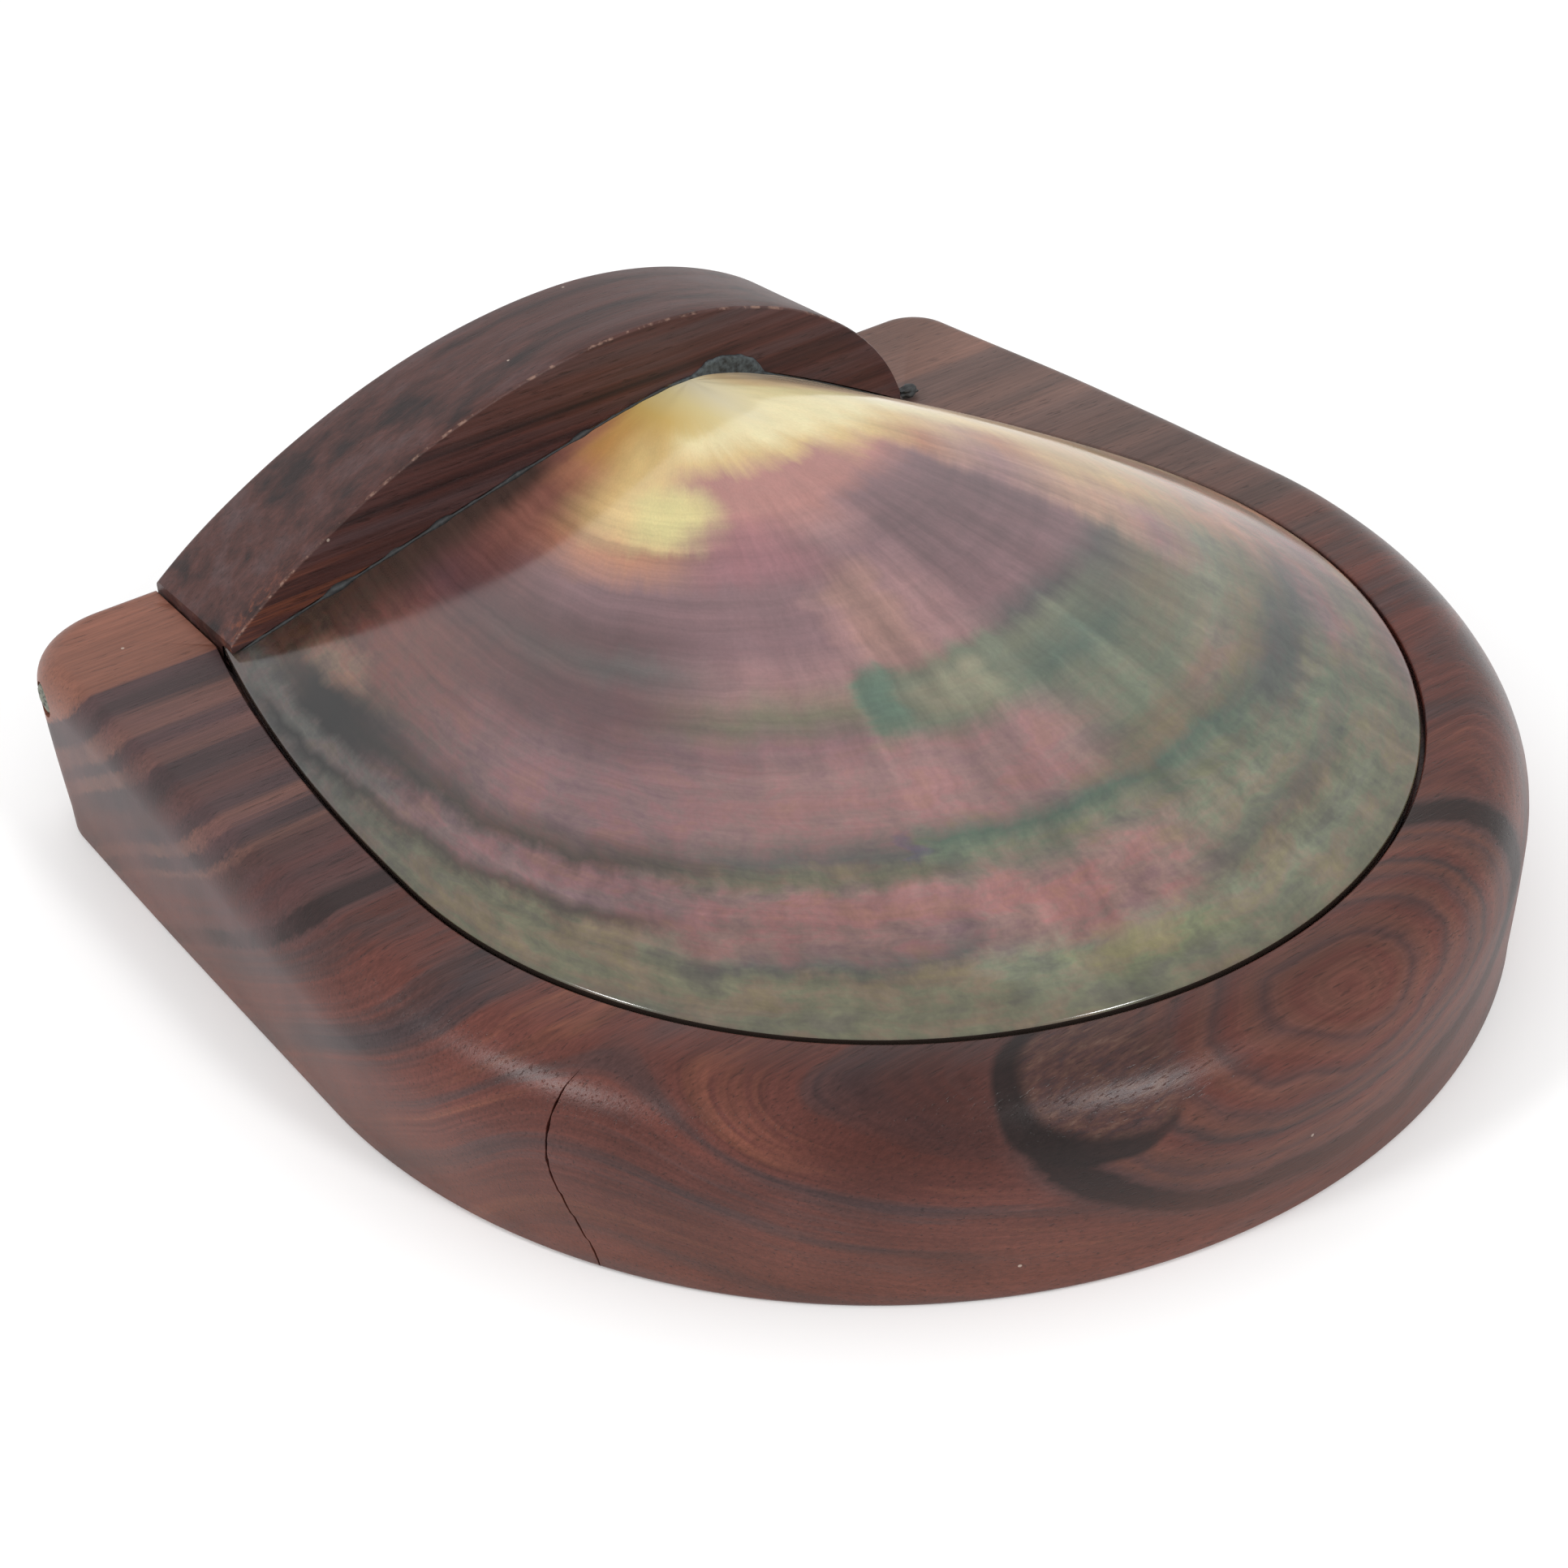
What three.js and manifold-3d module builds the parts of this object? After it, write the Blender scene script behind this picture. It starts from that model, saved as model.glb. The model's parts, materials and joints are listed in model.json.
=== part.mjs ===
// Wooden box with a pearl-oyster shell for a lid. The shell is set in an arched hinge block that turns
// on two short metal pins between the ears of the box. Millimetres, +Z up, -Y is the front, and the
// origin is the centre of the underside.
import * as THREE from 'three';
import { mergeVertices } from 'three/addons/utils/BufferGeometryUtils.js';
import Module from 'manifold-3d';

const wasm = await Module();
wasm.setup();

// Driving dimensions of the box.
const BOX_RADIUS = 86.6;         // round front, and half of the length
const BOX_HEIGHT = 29.5;
const BACK_HALF_LEFT = 86.4;    // the left side runs straight back
const BACK_HALF_RIGHT = 77;     // the right side draws in towards the back
const CORNER_LEFT = 11;
const CORNER_RIGHT = 9;
const FLOOR_THICK = 6.5;
const EDGE_BACK = { width: 3.6, height: 5.5, taper: 0.5 };
const EDGE_FRONT = { width: 10, height: 11.5, taper: 1.2 };
const EDGE_BLEND = { from: 66, to: -44 };   // stretch of Y over which the rounding grows
const FOOT_LEAN = 0.8;          // the foot draws in more on the left and less on the right
const FOOT_CURVE = 1.4;         // how the wall draws in towards the foot, 1 being straight
const HINGE_WALL = 4.8;         // wood left between the hollow and the notch for the hinge

// Driving dimensions of the shell.
const SHELL_HALF_WIDTH = 70.6;
const SHELL_HALF_LENGTH = 72.8;
const SHELL_THICK = 3.2;
const SHELL_RIM_THICK = 2.3;
const SHELL_RIGHT = { handle: 18, shoulder: { x: 63, y: 40 }, heel: { x: 48.5, y: 66 } };
const SHELL_LEFT = { handle: 20, shoulder: { x: -69.5, y: 40 }, heel: { x: -63.2, y: 66 } };
const UMBO = { x: 10, y: 60, height: 16.8 };
const DOME_POWER = { left: 1.08, right: 1.3, front: 2 };   // 1 is a straight fall, 2 a round one
const DOME_SWELL = 2.6;
const RIM_PROUD = 0.2;

// Driving dimensions of the hinge.
const BLOCK_FRONT = 60.4;
const BLOCK_LEFT = -64.3;
const BLOCK_RIGHT = 52.5;
const BLOCK_RISE = 27.8;        // crown of the block over the top of the box
const BLOCK_SHOULDER = 2;       // its ends over the top of the box
const BLOCK_BACK_DROP = 2;      // the crown falls a little towards the back
const BLOCK_CROWN_X = 5;
const ARCH_LEFT = { inward: 14, up: 12, crown: -22 };    // pull of the curve at its foot and crown
const ARCH_RIGHT = { inward: 4.5, up: 15, crown: 28 };
const HINGE_RADIUS = 7.5;
const PIN = { y: 76.9, z: 23.5, radius: 2.25, into: 18, recess: 1, sides: 20 };
const BEAD = { radius: 0.7, from: -60, to: 48, step: 6 };
const SHELL_INTO_BLOCK = 5.6;

// Clearances.
const GAP = 0.35;
const TURN_ROOM = 1.0;          // under the rounded heel of the block
const TOE_ROOM = 2.2;           // in front of the block, whose toe swings forward as it opens
const RIM_GAP = 0.9;            // around the rim of the shell
const LEDGE_WIDTH = 5;
const PAST = 5;                 // a cutting shape runs this far past the faces that it cuts

const BLOCK_BACK = PIN.y + HINGE_RADIUS;
const BLOCK_BOTTOM = PIN.z - HINGE_RADIUS;
const SHELL_BACK = BLOCK_FRONT + SHELL_INTO_BLOCK;
const LEDGE_Z = BOX_HEIGHT + RIM_PROUD - SHELL_RIM_THICK - GAP;

// ---- solids ------------------------------------------------------------------------------------

/** A closed three.js geometry as a solid that can be joined and cut. */
function solid(geometry) {
  const bare = geometry.clone();
  bare.deleteAttribute('normal');
  bare.deleteAttribute('uv');
  const merged = mergeVertices(bare, 1e-4);
  const corners = merged.index.array;
  const kept = [];
  for (let i = 0; i < corners.length; i += 3) {
    const [a, b, c] = [corners[i], corners[i + 1], corners[i + 2]];
    if (a !== b && b !== c && c !== a) kept.push(a, b, c);
  }
  return new wasm.Manifold(new wasm.Mesh({
    numProp: 3,
    vertProperties: new Float32Array(merged.attributes.position.array),
    triVerts: new Uint32Array(kept),
  }));
}

/** A solid back as a named three.js mesh. */
function part(name, shape, material) {
  const mesh = shape.getMesh();
  const geometry = new THREE.BufferGeometry();
  geometry.setAttribute('position', new THREE.BufferAttribute(mesh.vertProperties, 3));
  geometry.setIndex(new THREE.BufferAttribute(mesh.triVerts, 1));
  geometry.computeVertexNormals();
  const object = new THREE.Mesh(geometry, material);
  object.name = name;
  return object;
}

/** Moves every vertex of a geometry to where `place` says. */
function reshape(geometry, place) {
  const position = geometry.attributes.position;
  const point = new THREE.Vector3();
  for (let i = 0; i < position.count; i += 1) {
    place(point.fromBufferAttribute(position, i));
    position.setXYZ(i, point.x, point.y, point.z);
  }
  return geometry;
}

/** A plan outline pulled up from z = low to z = high. */
function prism(points, low, high) {
  const geometry = new THREE.ExtrudeGeometry(new THREE.Shape(points), {
    depth: high - low, steps: 1, bevelEnabled: false,
  });
  return geometry.translate(0, 0, low);
}

function boxBetween(low, high) {
  const size = new THREE.Vector3().subVectors(high, low);
  const middle = new THREE.Vector3().addVectors(low, high).multiplyScalar(0.5);
  return new THREE.BoxGeometry(size.x, size.y, size.z).translate(middle.x, middle.y, middle.z);
}

/** A rod on the hinge axis, along X. */
function rod(fromX, toX, radius) {
  const geometry = new THREE.CylinderGeometry(radius, radius, toX - fromX, PIN.sides);
  return geometry.rotateZ(Math.PI / 2).translate((fromX + toX) / 2, PIN.y, PIN.z);
}

// ---- plan outlines -----------------------------------------------------------------------------

/** Points of an arc, without its last one. */
function arcPoints(cx, cy, radius, from, to, pieces) {
  const curve = new THREE.EllipseCurve(cx, cy, radius, radius, from, to, false, 0);
  return curve.getPoints(pieces).slice(0, -1);
}

/** The straight run between two points cut into equal pieces, without its last point. */
function runPoints(a, b, pieces) {
  return new THREE.LineCurve(a, b).getPoints(pieces).slice(0, -1);
}

/** Direction of the outward normal where the body circle and a corner circle share a tangent. */
function tangentAngle(corner, side) {
  const reach = Math.hypot(corner.x, corner.y);
  const swing = Math.acos((BOX_RADIUS - corner.radius) / reach);
  return Math.atan2(corner.y, corner.x) + side * swing;
}

/** Three circles with a belt round them: the round front and the two back corners. */
function boxOutline() {
  const left = { x: CORNER_LEFT - BACK_HALF_LEFT, y: BOX_RADIUS - CORNER_LEFT, radius: CORNER_LEFT };
  const right = { x: BACK_HALF_RIGHT - CORNER_RIGHT, y: BOX_RADIUS - CORNER_RIGHT, radius: CORNER_RIGHT };
  const leftAngle = tangentAngle(left, 1);
  const rightAngle = tangentAngle(right, -1);
  const front = arcPoints(0, 0, BOX_RADIUS, leftAngle, rightAngle + 2 * Math.PI, 54);
  const rightCorner = arcPoints(right.x, right.y, right.radius, rightAngle, Math.PI / 2, 7);
  const leftCorner = arcPoints(left.x, left.y, left.radius, Math.PI / 2, leftAngle, 8);
  const onCircle = (circle, angle) => new THREE.Vector2(
    circle.x + circle.radius * Math.cos(angle), circle.y + circle.radius * Math.sin(angle));
  const body = { x: 0, y: 0, radius: BOX_RADIUS };
  return [
    ...front,
    ...runPoints(onCircle(body, rightAngle), onCircle(right, rightAngle), 5),
    ...rightCorner,
    ...runPoints(onCircle(right, Math.PI / 2), onCircle(left, Math.PI / 2), 2),
    ...leftCorner,
    ...runPoints(onCircle(left, leftAngle), onCircle(body, leftAngle), 5),
  ];
}

/** The rim of the shell, grown by `grow`: a half ellipse in front, then two curves drawing in. */
function shellOutline(grow, back = SHELL_BACK) {
  const k = 1 + grow / SHELL_HALF_LENGTH;
  const [a, b] = [SHELL_HALF_WIDTH * k, SHELL_HALF_LENGTH * k];
  const at = (x, y) => new THREE.Vector2(x * k, y * k);
  const of = (point) => at(point.x, point.y);
  const front = new THREE.EllipseCurve(0, 0, a, b, Math.PI, 2 * Math.PI, false, 0);
  const right = new THREE.CubicBezierCurve(
    at(SHELL_HALF_WIDTH, 0), at(SHELL_HALF_WIDTH, SHELL_RIGHT.handle),
    of(SHELL_RIGHT.shoulder), of(SHELL_RIGHT.heel));
  const left = new THREE.CubicBezierCurve(
    of(SHELL_LEFT.heel), of(SHELL_LEFT.shoulder),
    at(-SHELL_HALF_WIDTH, SHELL_LEFT.handle), at(-SHELL_HALF_WIDTH, 0));
  const points = [...front.getPoints(40), ...right.getPoints(14), ...left.getPoints(12)];
  const seen = points.filter((p, i) => i === 0 || p.distanceTo(points[i - 1]) > 0.01);
  seen.pop();
  for (const p of seen) p.y = Math.min(p.y, back);
  return seen.filter((p, i) => i === 0 || p.distanceTo(seen[i - 1]) > 0.01);
}

/** How far a ray from (x, y) goes before it leaves the outline. */
function reach(outline, x, y, angle) {
  const [dx, dy] = [Math.cos(angle), Math.sin(angle)];
  let best = 0;
  outline.forEach((a, i) => {
    const b = outline[(i + 1) % outline.length];
    const [ex, ey] = [b.x - a.x, b.y - a.y];
    const cross = dx * ey - dy * ex;
    if (Math.abs(cross) < 1e-9) return;
    const along = ((a.x - x) * ey - (a.y - y) * ex) / cross;
    const across = ((a.x - x) * dy - (a.y - y) * dx) / cross;
    if (along > 0 && across >= -1e-6 && across <= 1 + 1e-6) best = Math.max(best, along);
  });
  return best;
}

// ---- the box -----------------------------------------------------------------------------------

/** Width, height and taper of the rounded wall at a place in plan. */
function wallAt(x, y) {
  const t = THREE.MathUtils.smoothstep(EDGE_BLEND.from - y, 0, EDGE_BLEND.from - EDGE_BLEND.to);
  const mix = (key) => THREE.MathUtils.lerp(EDGE_BACK[key], EDGE_FRONT[key], t);
  const lean = 1 - FOOT_LEAN * x / BOX_RADIUS;
  return { width: mix('width'), height: mix('height'), taper: mix('taper') * lean };
}

/** The outside of the box: walls that draw in to the foot and roll over into the flat top. */
function boxBlank() {
  const taperSteps = 4;
  const roundSteps = 7;
  const steps = taperSteps + roundSteps;
  const geometry = new THREE.ExtrudeGeometry(new THREE.Shape(boxOutline()), {
    depth: steps, steps, bevelEnabled: false,
  });
  return reshape(geometry, (p) => {
    const wall = wallAt(p.x, p.y);
    const level = Math.round(p.z);
    const widest = BOX_HEIGHT - wall.height;
    let inset = 0;
    if (level <= taperSteps) {
      p.z = widest * level / taperSteps;
      inset = wall.taper * (1 - level / taperSteps) ** FOOT_CURVE;
    } else {
      const turn = (level - taperSteps) / roundSteps * Math.PI / 2;
      p.z = widest + wall.height * Math.sin(turn);
      inset = wall.width * (1 - Math.cos(turn));
    }
    p.x *= 1 - inset / BOX_RADIUS;
    p.y *= 1 - inset / BOX_RADIUS;
  });
}

function makeBox() {
  const above = BOX_HEIGHT + PAST;
  const notchFront = BLOCK_FRONT - TOE_ROOM;
  const notch = boxBetween(
    new THREE.Vector3(BLOCK_LEFT, notchFront, BLOCK_BOTTOM - TURN_ROOM),
    new THREE.Vector3(BLOCK_RIGHT, BOX_RADIUS + PAST, above));
  const pinHole = rod(-BOX_RADIUS - PAST, BOX_RADIUS + PAST, PIN.radius + GAP);
  const hollow = shellOutline(-LEDGE_WIDTH, notchFront - HINGE_WALL);
  return solid(boxBlank())
    .subtract(solid(prism(shellOutline(RIM_GAP), LEDGE_Z, above)))
    .subtract(solid(prism(hollow, FLOOR_THICK, above)))
    .subtract(solid(notch))
    .subtract(solid(pinHole));
}

// ---- the shell ---------------------------------------------------------------------------------

const RIM = shellOutline(0);

/** Height of the outer face of the shell over its rim. */
function domeHeight(x, y) {
  const forward = Math.max(UMBO.y - y, 0);
  const aside = x - UMBO.x;
  const distance = Math.hypot(aside, forward);
  if (distance < 1e-6) return UMBO.height;
  const angle = Math.atan2(-forward, aside);
  const way = Math.min(distance / reach(RIM, UMBO.x, UMBO.y, angle), 1);
  const frontness = (forward / distance) ** 2;
  const sideways = aside < 0 ? DOME_POWER.left : DOME_POWER.right;
  const power = THREE.MathUtils.lerp(sideways, DOME_POWER.front, frontness);
  return UMBO.height * (1 - way ** power) + DOME_SWELL * 4 * way * (1 - way) * frontness;
}

/** The valve as a curved plate, grown all round by `grow`. */
function shellPlate(grow) {
  const outline = shellOutline(grow, SHELL_BACK + grow);
  const rings = [0, 0.22, 0.42, 0.6, 0.75, 0.87, 0.95, 1];
  const profile = [
    ...rings.map((r) => new THREE.Vector2(r, 0)),
    ...rings.toReversed().map((r) => new THREE.Vector2(r, 1)),
  ];
  return reshape(new THREE.LatheGeometry(profile, 72), (p) => {
    const ring = Math.hypot(p.x, p.z);
    const angle = Math.atan2(-p.z, p.x);
    const outer = p.y > 0.5;
    const far = ring * reach(outline, 0, 0, angle);
    const [x, y] = [far * Math.cos(angle), far * Math.sin(angle)];
    const thick = THREE.MathUtils.lerp(SHELL_THICK, SHELL_RIM_THICK, ring ** 4);
    const top = BOX_HEIGHT + RIM_PROUD + domeHeight(x, y);
    p.set(x, y, outer ? top + grow : top - thick - grow);
  });
}

// ---- the hinge block ---------------------------------------------------------------------------

/** The arched face of the block, in X and Z. */
function blockFace() {
  const left = BLOCK_LEFT + GAP;
  const right = BLOCK_RIGHT - GAP;
  const crown = BOX_HEIGHT + BLOCK_RISE;
  const shoulder = BOX_HEIGHT + BLOCK_SHOULDER;
  const shape = new THREE.Shape();
  shape.moveTo(left, BLOCK_BOTTOM);
  shape.lineTo(right, BLOCK_BOTTOM);
  shape.lineTo(right, shoulder);
  shape.bezierCurveTo(
    right - ARCH_RIGHT.inward, shoulder + ARCH_RIGHT.up, ARCH_RIGHT.crown, crown, BLOCK_CROWN_X, crown);
  shape.bezierCurveTo(
    ARCH_LEFT.crown, crown, left + ARCH_LEFT.inward, shoulder + ARCH_LEFT.up, left, shoulder);
  return shape;
}

/** The end view of the block, in Y and Z: its lower back edge is rounded about the pins. */
function blockEnd() {
  const shape = new THREE.Shape();
  shape.moveTo(BLOCK_FRONT, BLOCK_BOTTOM);
  shape.lineTo(PIN.y, BLOCK_BOTTOM);
  shape.absarc(PIN.y, PIN.z, HINGE_RADIUS, -Math.PI / 2, 0, false);
  shape.lineTo(BLOCK_BACK, BOX_HEIGHT + BLOCK_RISE + PAST);
  shape.lineTo(BLOCK_FRONT, BOX_HEIGHT + BLOCK_RISE + PAST);
  return shape;
}

function makeBlock() {
  const face = new THREE.ExtrudeGeometry(blockFace(), {
    depth: BLOCK_BACK - BLOCK_FRONT + 2 * PAST, bevelEnabled: false, curveSegments: 18,
  });
  face.rotateX(Math.PI / 2).translate(0, BLOCK_BACK + PAST, 0);
  reshape(face, (p) => {
    const rise = (p.z - BLOCK_BOTTOM) / (BOX_HEIGHT + BLOCK_RISE - BLOCK_BOTTOM);
    const behind = (p.y - BLOCK_FRONT) / (BLOCK_BACK - BLOCK_FRONT);
    p.z -= BLOCK_BACK_DROP * rise * behind;
  });
  const end = new THREE.ExtrudeGeometry(blockEnd(), {
    depth: 2 * BOX_RADIUS, bevelEnabled: false, curveSegments: 5,
  });
  end.rotateX(Math.PI / 2).rotateZ(Math.PI / 2).translate(-BOX_RADIUS, 0, 0);
  const holeRadius = PIN.radius + GAP;
  const deep = PIN.into + GAP;
  return solid(face)
    .intersect(solid(end))
    .subtract(solid(shellPlate(GAP)))
    .subtract(solid(rod(BLOCK_LEFT - PAST, BLOCK_LEFT + deep, holeRadius)))
    .subtract(solid(rod(BLOCK_RIGHT - deep, BLOCK_RIGHT + PAST, holeRadius)));
}

// ---- small pieces ------------------------------------------------------------------------------

/** The bead of filler that closes the joint between shell and block. */
function makeBead() {
  const y = BLOCK_FRONT - GAP - BEAD.radius;
  const along = [];
  for (let x = BEAD.from; x <= BEAD.to; x += BEAD.step) {
    const slope = (domeHeight(x + 1, y) - domeHeight(x - 1, y)) / 2;
    const lift = (BEAD.radius + GAP) * Math.hypot(1, slope) + 0.1;
    along.push(new THREE.Vector3(x, y, BOX_HEIGHT + RIM_PROUD + domeHeight(x, y) + lift));
  }
  const section = new THREE.Shape(arcPoints(0, 0, BEAD.radius, 0, 2 * Math.PI, 8));
  return new THREE.ExtrudeGeometry(section, {
    steps: 2 * along.length, bevelEnabled: false, extrudePath: new THREE.CatmullRomCurve3(along),
  });
}

// ---- assembly ----------------------------------------------------------------------------------

const wood = new THREE.MeshStandardMaterial({ color: 0x6b4038, roughness: 0.42, metalness: 0 });
const darkWood = new THREE.MeshStandardMaterial({ color: 0x45302e, roughness: 0.42, metalness: 0 });
const nacre = new THREE.MeshStandardMaterial({ color: 0x94808a, roughness: 0.25, metalness: 0 });
const filler = new THREE.MeshStandardMaterial({ color: 0x4a4f52, roughness: 0.6, metalness: 0 });
const metal = new THREE.MeshStandardMaterial({ color: 0x7d8078, roughness: 0.4, metalness: 1 });

const pinEnds = {
  hinge_pin_left: [PIN.recess - BACK_HALF_LEFT, BLOCK_LEFT + PIN.into],
  hinge_pin_right: [BLOCK_RIGHT - PIN.into, BACK_HALF_RIGHT - PIN.recess],
};

const shellBox = new THREE.Group();
shellBox.add(part('box_body', makeBox(), wood));
shellBox.add(part('hinge_block', makeBlock(), darkWood));
shellBox.add(part('shell_lid', solid(shellPlate(0)), nacre));
shellBox.add(part('filler_bead', solid(makeBead()), filler));
for (const [name, [from, to]] of Object.entries(pinEnds)) {
  shellBox.add(part(name, solid(rod(from, to, PIN.radius)), metal));
}

export default shellBox;
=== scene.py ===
"""A low rosewood box closed by a polished pearl-oyster shell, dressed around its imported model.

The shell is set in an arched hinge block that turns on two short pins between the ears of the box.
Metres, +Z up, -Y is the rounded front that opens, and the origin is the centre of the underside.
"""
import json
import math
from bisect import bisect_left

import bmesh
import bpy
from bpy.props import FloatProperty, FloatVectorProperty, PointerProperty
from mathutils import Matrix, Vector, noise
from mathutils.geometry import interpolate_bezier


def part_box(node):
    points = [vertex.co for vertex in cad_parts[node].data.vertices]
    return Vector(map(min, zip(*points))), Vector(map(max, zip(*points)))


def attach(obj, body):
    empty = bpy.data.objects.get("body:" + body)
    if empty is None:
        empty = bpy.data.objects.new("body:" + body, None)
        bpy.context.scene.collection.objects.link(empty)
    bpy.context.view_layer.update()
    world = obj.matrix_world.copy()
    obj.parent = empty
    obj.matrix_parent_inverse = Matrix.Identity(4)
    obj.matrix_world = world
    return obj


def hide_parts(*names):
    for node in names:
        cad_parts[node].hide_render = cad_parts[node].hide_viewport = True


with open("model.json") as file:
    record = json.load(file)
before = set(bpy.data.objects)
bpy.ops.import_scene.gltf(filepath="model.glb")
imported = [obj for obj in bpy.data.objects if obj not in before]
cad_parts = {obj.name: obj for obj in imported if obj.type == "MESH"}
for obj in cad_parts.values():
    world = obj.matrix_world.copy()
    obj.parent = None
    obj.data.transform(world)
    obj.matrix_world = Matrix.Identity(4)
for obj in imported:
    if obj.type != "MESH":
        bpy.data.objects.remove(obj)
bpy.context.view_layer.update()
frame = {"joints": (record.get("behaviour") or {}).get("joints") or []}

bl_info = {
    "name": "Shell Box",
    "version": (1, 0, 0),
    "blender": (4, 5, 0),
    "location": "3D View > Sidebar > Shell Box",
    "description": "A carved rosewood box with a pearl-oyster shell for a lid",
    "category": "Object",
}

BODY_LOW, BODY_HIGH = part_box("box_body")
BLOCK_LOW, BLOCK_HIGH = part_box("hinge_block")
SHELL_LOW, SHELL_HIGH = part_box("shell_lid")
LID_AXIS = Vector(frame["joints"][0]["pos_m"])


# ---- sizes and colours ----------------------------------------------------------------------------

def mm(value):
    """Millimetres in metres."""
    return value * 0.001


def linear(code):
    """An sRGB hex colour as linear red, green, blue and alpha."""

    def channel(pair):
        share = int(pair, 16) / 255
        return share / 12.92 if share <= 0.04045 else ((share + 0.055) / 1.055) ** 2.4

    return tuple(channel(code[i:i + 2]) for i in (1, 3, 5)) + (1.0,)


def size(name, description, default):
    """A length that a user may change, in metres."""
    return FloatProperty(name=name, description=description, default=default, min=0.0,
                         precision=5, subtype="DISTANCE", unit="LENGTH")


def colour(name, description, code):
    """A colour that a user may change."""
    return FloatVectorProperty(name=name, description=description, default=linear(code), size=4,
                               min=0.0, max=1.0, subtype="COLOR")


class BodySettings(bpy.types.PropertyGroup):
    """Sizes and colours of the carved box."""
    radius: size("Front radius", "Radius of the round front", (BODY_HIGH.y - BODY_LOW.y) / 2)
    height: size("Height", "Height of the flat top of the wood", BODY_HIGH.z)
    back_left: size("Back, left half", "From the middle to the left side at the back", mm(86.4))
    back_right: size("Back, right half", "From the middle to the right side at the back", mm(77))
    corner_left: size("Left back corner", "Radius of the left back corner", mm(11))
    corner_right: size("Right back corner", "Radius of the right back corner", mm(7))
    floor: size("Floor", "Thickness of the floor", mm(6.5))
    rebate_gap: size("Rebate gap", "Gap round the rim of the shell", mm(0.6))
    rebate_depth: size("Rebate depth", "Depth of the rebate that takes the rim", mm(2.45))
    ledge: size("Ledge", "Width of the ledge under the rim", mm(5))
    arris: size("Arris", "Rounding of the sharp edges", mm(0.45))
    crack: size("Crack", "Width of the drying crack", mm(0.4))
    ground: colour("Heartwood", "Red-brown ground of the wood", "#59312a")
    deep: colour("Deep streaks", "Near-black streaks of the wood", "#221716")
    streak: colour("Streaks", "Dark grey-brown stripes of the wood", "#3b2d2e")
    brown: colour("Brown bands", "Quiet brown between the stripes", "#4c322f")
    tan: colour("Tan bands", "Paler bands between the stripes", "#68473e")
    orange: colour("Orange bands", "Orange-brown bands of the round front", "#6e4132")
    pale: colour("Pale edge", "Pale wood at the back edge of the ears", "#7e5142")


class BlockSettings(bpy.types.PropertyGroup):
    """Sizes and colours of the arched hinge block."""
    front: size("Front face", "Place of the front face along Y", BLOCK_LOW.y)
    rise: size("Rise", "Crown of the arch over the top of the box", BLOCK_HIGH.z - BODY_HIGH.z)
    shoulder: size("Shoulder", "Ends of the arch over the top of the box", mm(2))
    back_drop: size("Back drop", "How far the arch falls towards the back", mm(2))
    heel: size("Heel", "Radius of the heel that rolls round the pins", BLOCK_HIGH.y - LID_AXIS.y)
    arris: size("Arris", "Rounding of the long edges", mm(0.5))
    ground: colour("Wood", "Dark ground of the block", "#492c28")
    streak: colour("Streaks", "Near-black streaks of the block", "#271b1b")
    light: colour("Worn wood", "Greyer wood of the block", "#4e3b3b")


class ShellSettings(bpy.types.PropertyGroup):
    """Sizes of the shell."""
    half_width: size("Half width", "Half of the width of the shell", SHELL_HIGH.x)
    half_length: size("Half length", "From the widest line to the front rim", -SHELL_LOW.y)
    thickness: size("Thickness", "Thickness of the shell at its middle", mm(3.2))
    rim_thickness: size("Rim thickness", "Thickness of the shell at its rim", mm(2.3))
    proud: size("Proud", "Rim of the shell over the top of the box", mm(0.2))
    swell: size("Swell", "How far the front of the dome bellies out", mm(2.6))


class SmallSettings(bpy.types.PropertyGroup):
    """Sizes and colours of the filler and the pins."""
    bead: size("Bead", "Radius of the bead of filler", mm(0.38))
    pin: size("Pin", "Radius of the hinge pins", mm(2.25))
    filler: colour("Filler", "Grey filler", "#3a4245")
    metal: colour("Pin metal", "Dulled metal of the pins", "#6d6f62")


# ---- meshes ---------------------------------------------------------------------------------------

def mesh_of(bm, name="piece"):
    """The mesh of a bmesh, which is used up."""
    mesh = bpy.data.meshes.new(name)
    bm.to_mesh(mesh)
    bm.free()
    return mesh


def new_object(name, data):
    """A new object, linked into the scene."""
    made = bpy.data.objects.new(name, data)
    bpy.context.scene.collection.objects.link(made)
    return made


def finish_piece(name, mesh, body, slot, material, *nodes, sharp=32):
    """Links a mesh as a piece that rides on a body and stands for CAD nodes."""
    mesh.name = name
    mesh.shade_smooth()
    mesh.set_sharp_from_angle(angle=math.radians(sharp))
    mesh.materials.clear()
    mesh.materials.append(material)
    piece = new_object(name, mesh)
    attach(piece, body)
    if nodes:
        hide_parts(*nodes)


def cut(shape, *cutters):
    """The mesh of one bmesh with others cut out of it. All of them are used up."""
    target = new_object("cut_target", mesh_of(shape))
    tools = [new_object("cut_tool", mesh_of(cutter)) for cutter in cutters]
    for tool in tools:
        modifier = target.modifiers.new("cut", "BOOLEAN")
        modifier.operation = "DIFFERENCE"
        modifier.solver = "EXACT"
        modifier.object = tool
    graph = bpy.context.evaluated_depsgraph_get()
    result = bpy.data.meshes.new_from_object(target.evaluated_get(graph))
    for held in (target, *tools):
        old = held.data
        bpy.data.objects.remove(held)
        bpy.data.meshes.remove(old)
    return result


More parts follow.
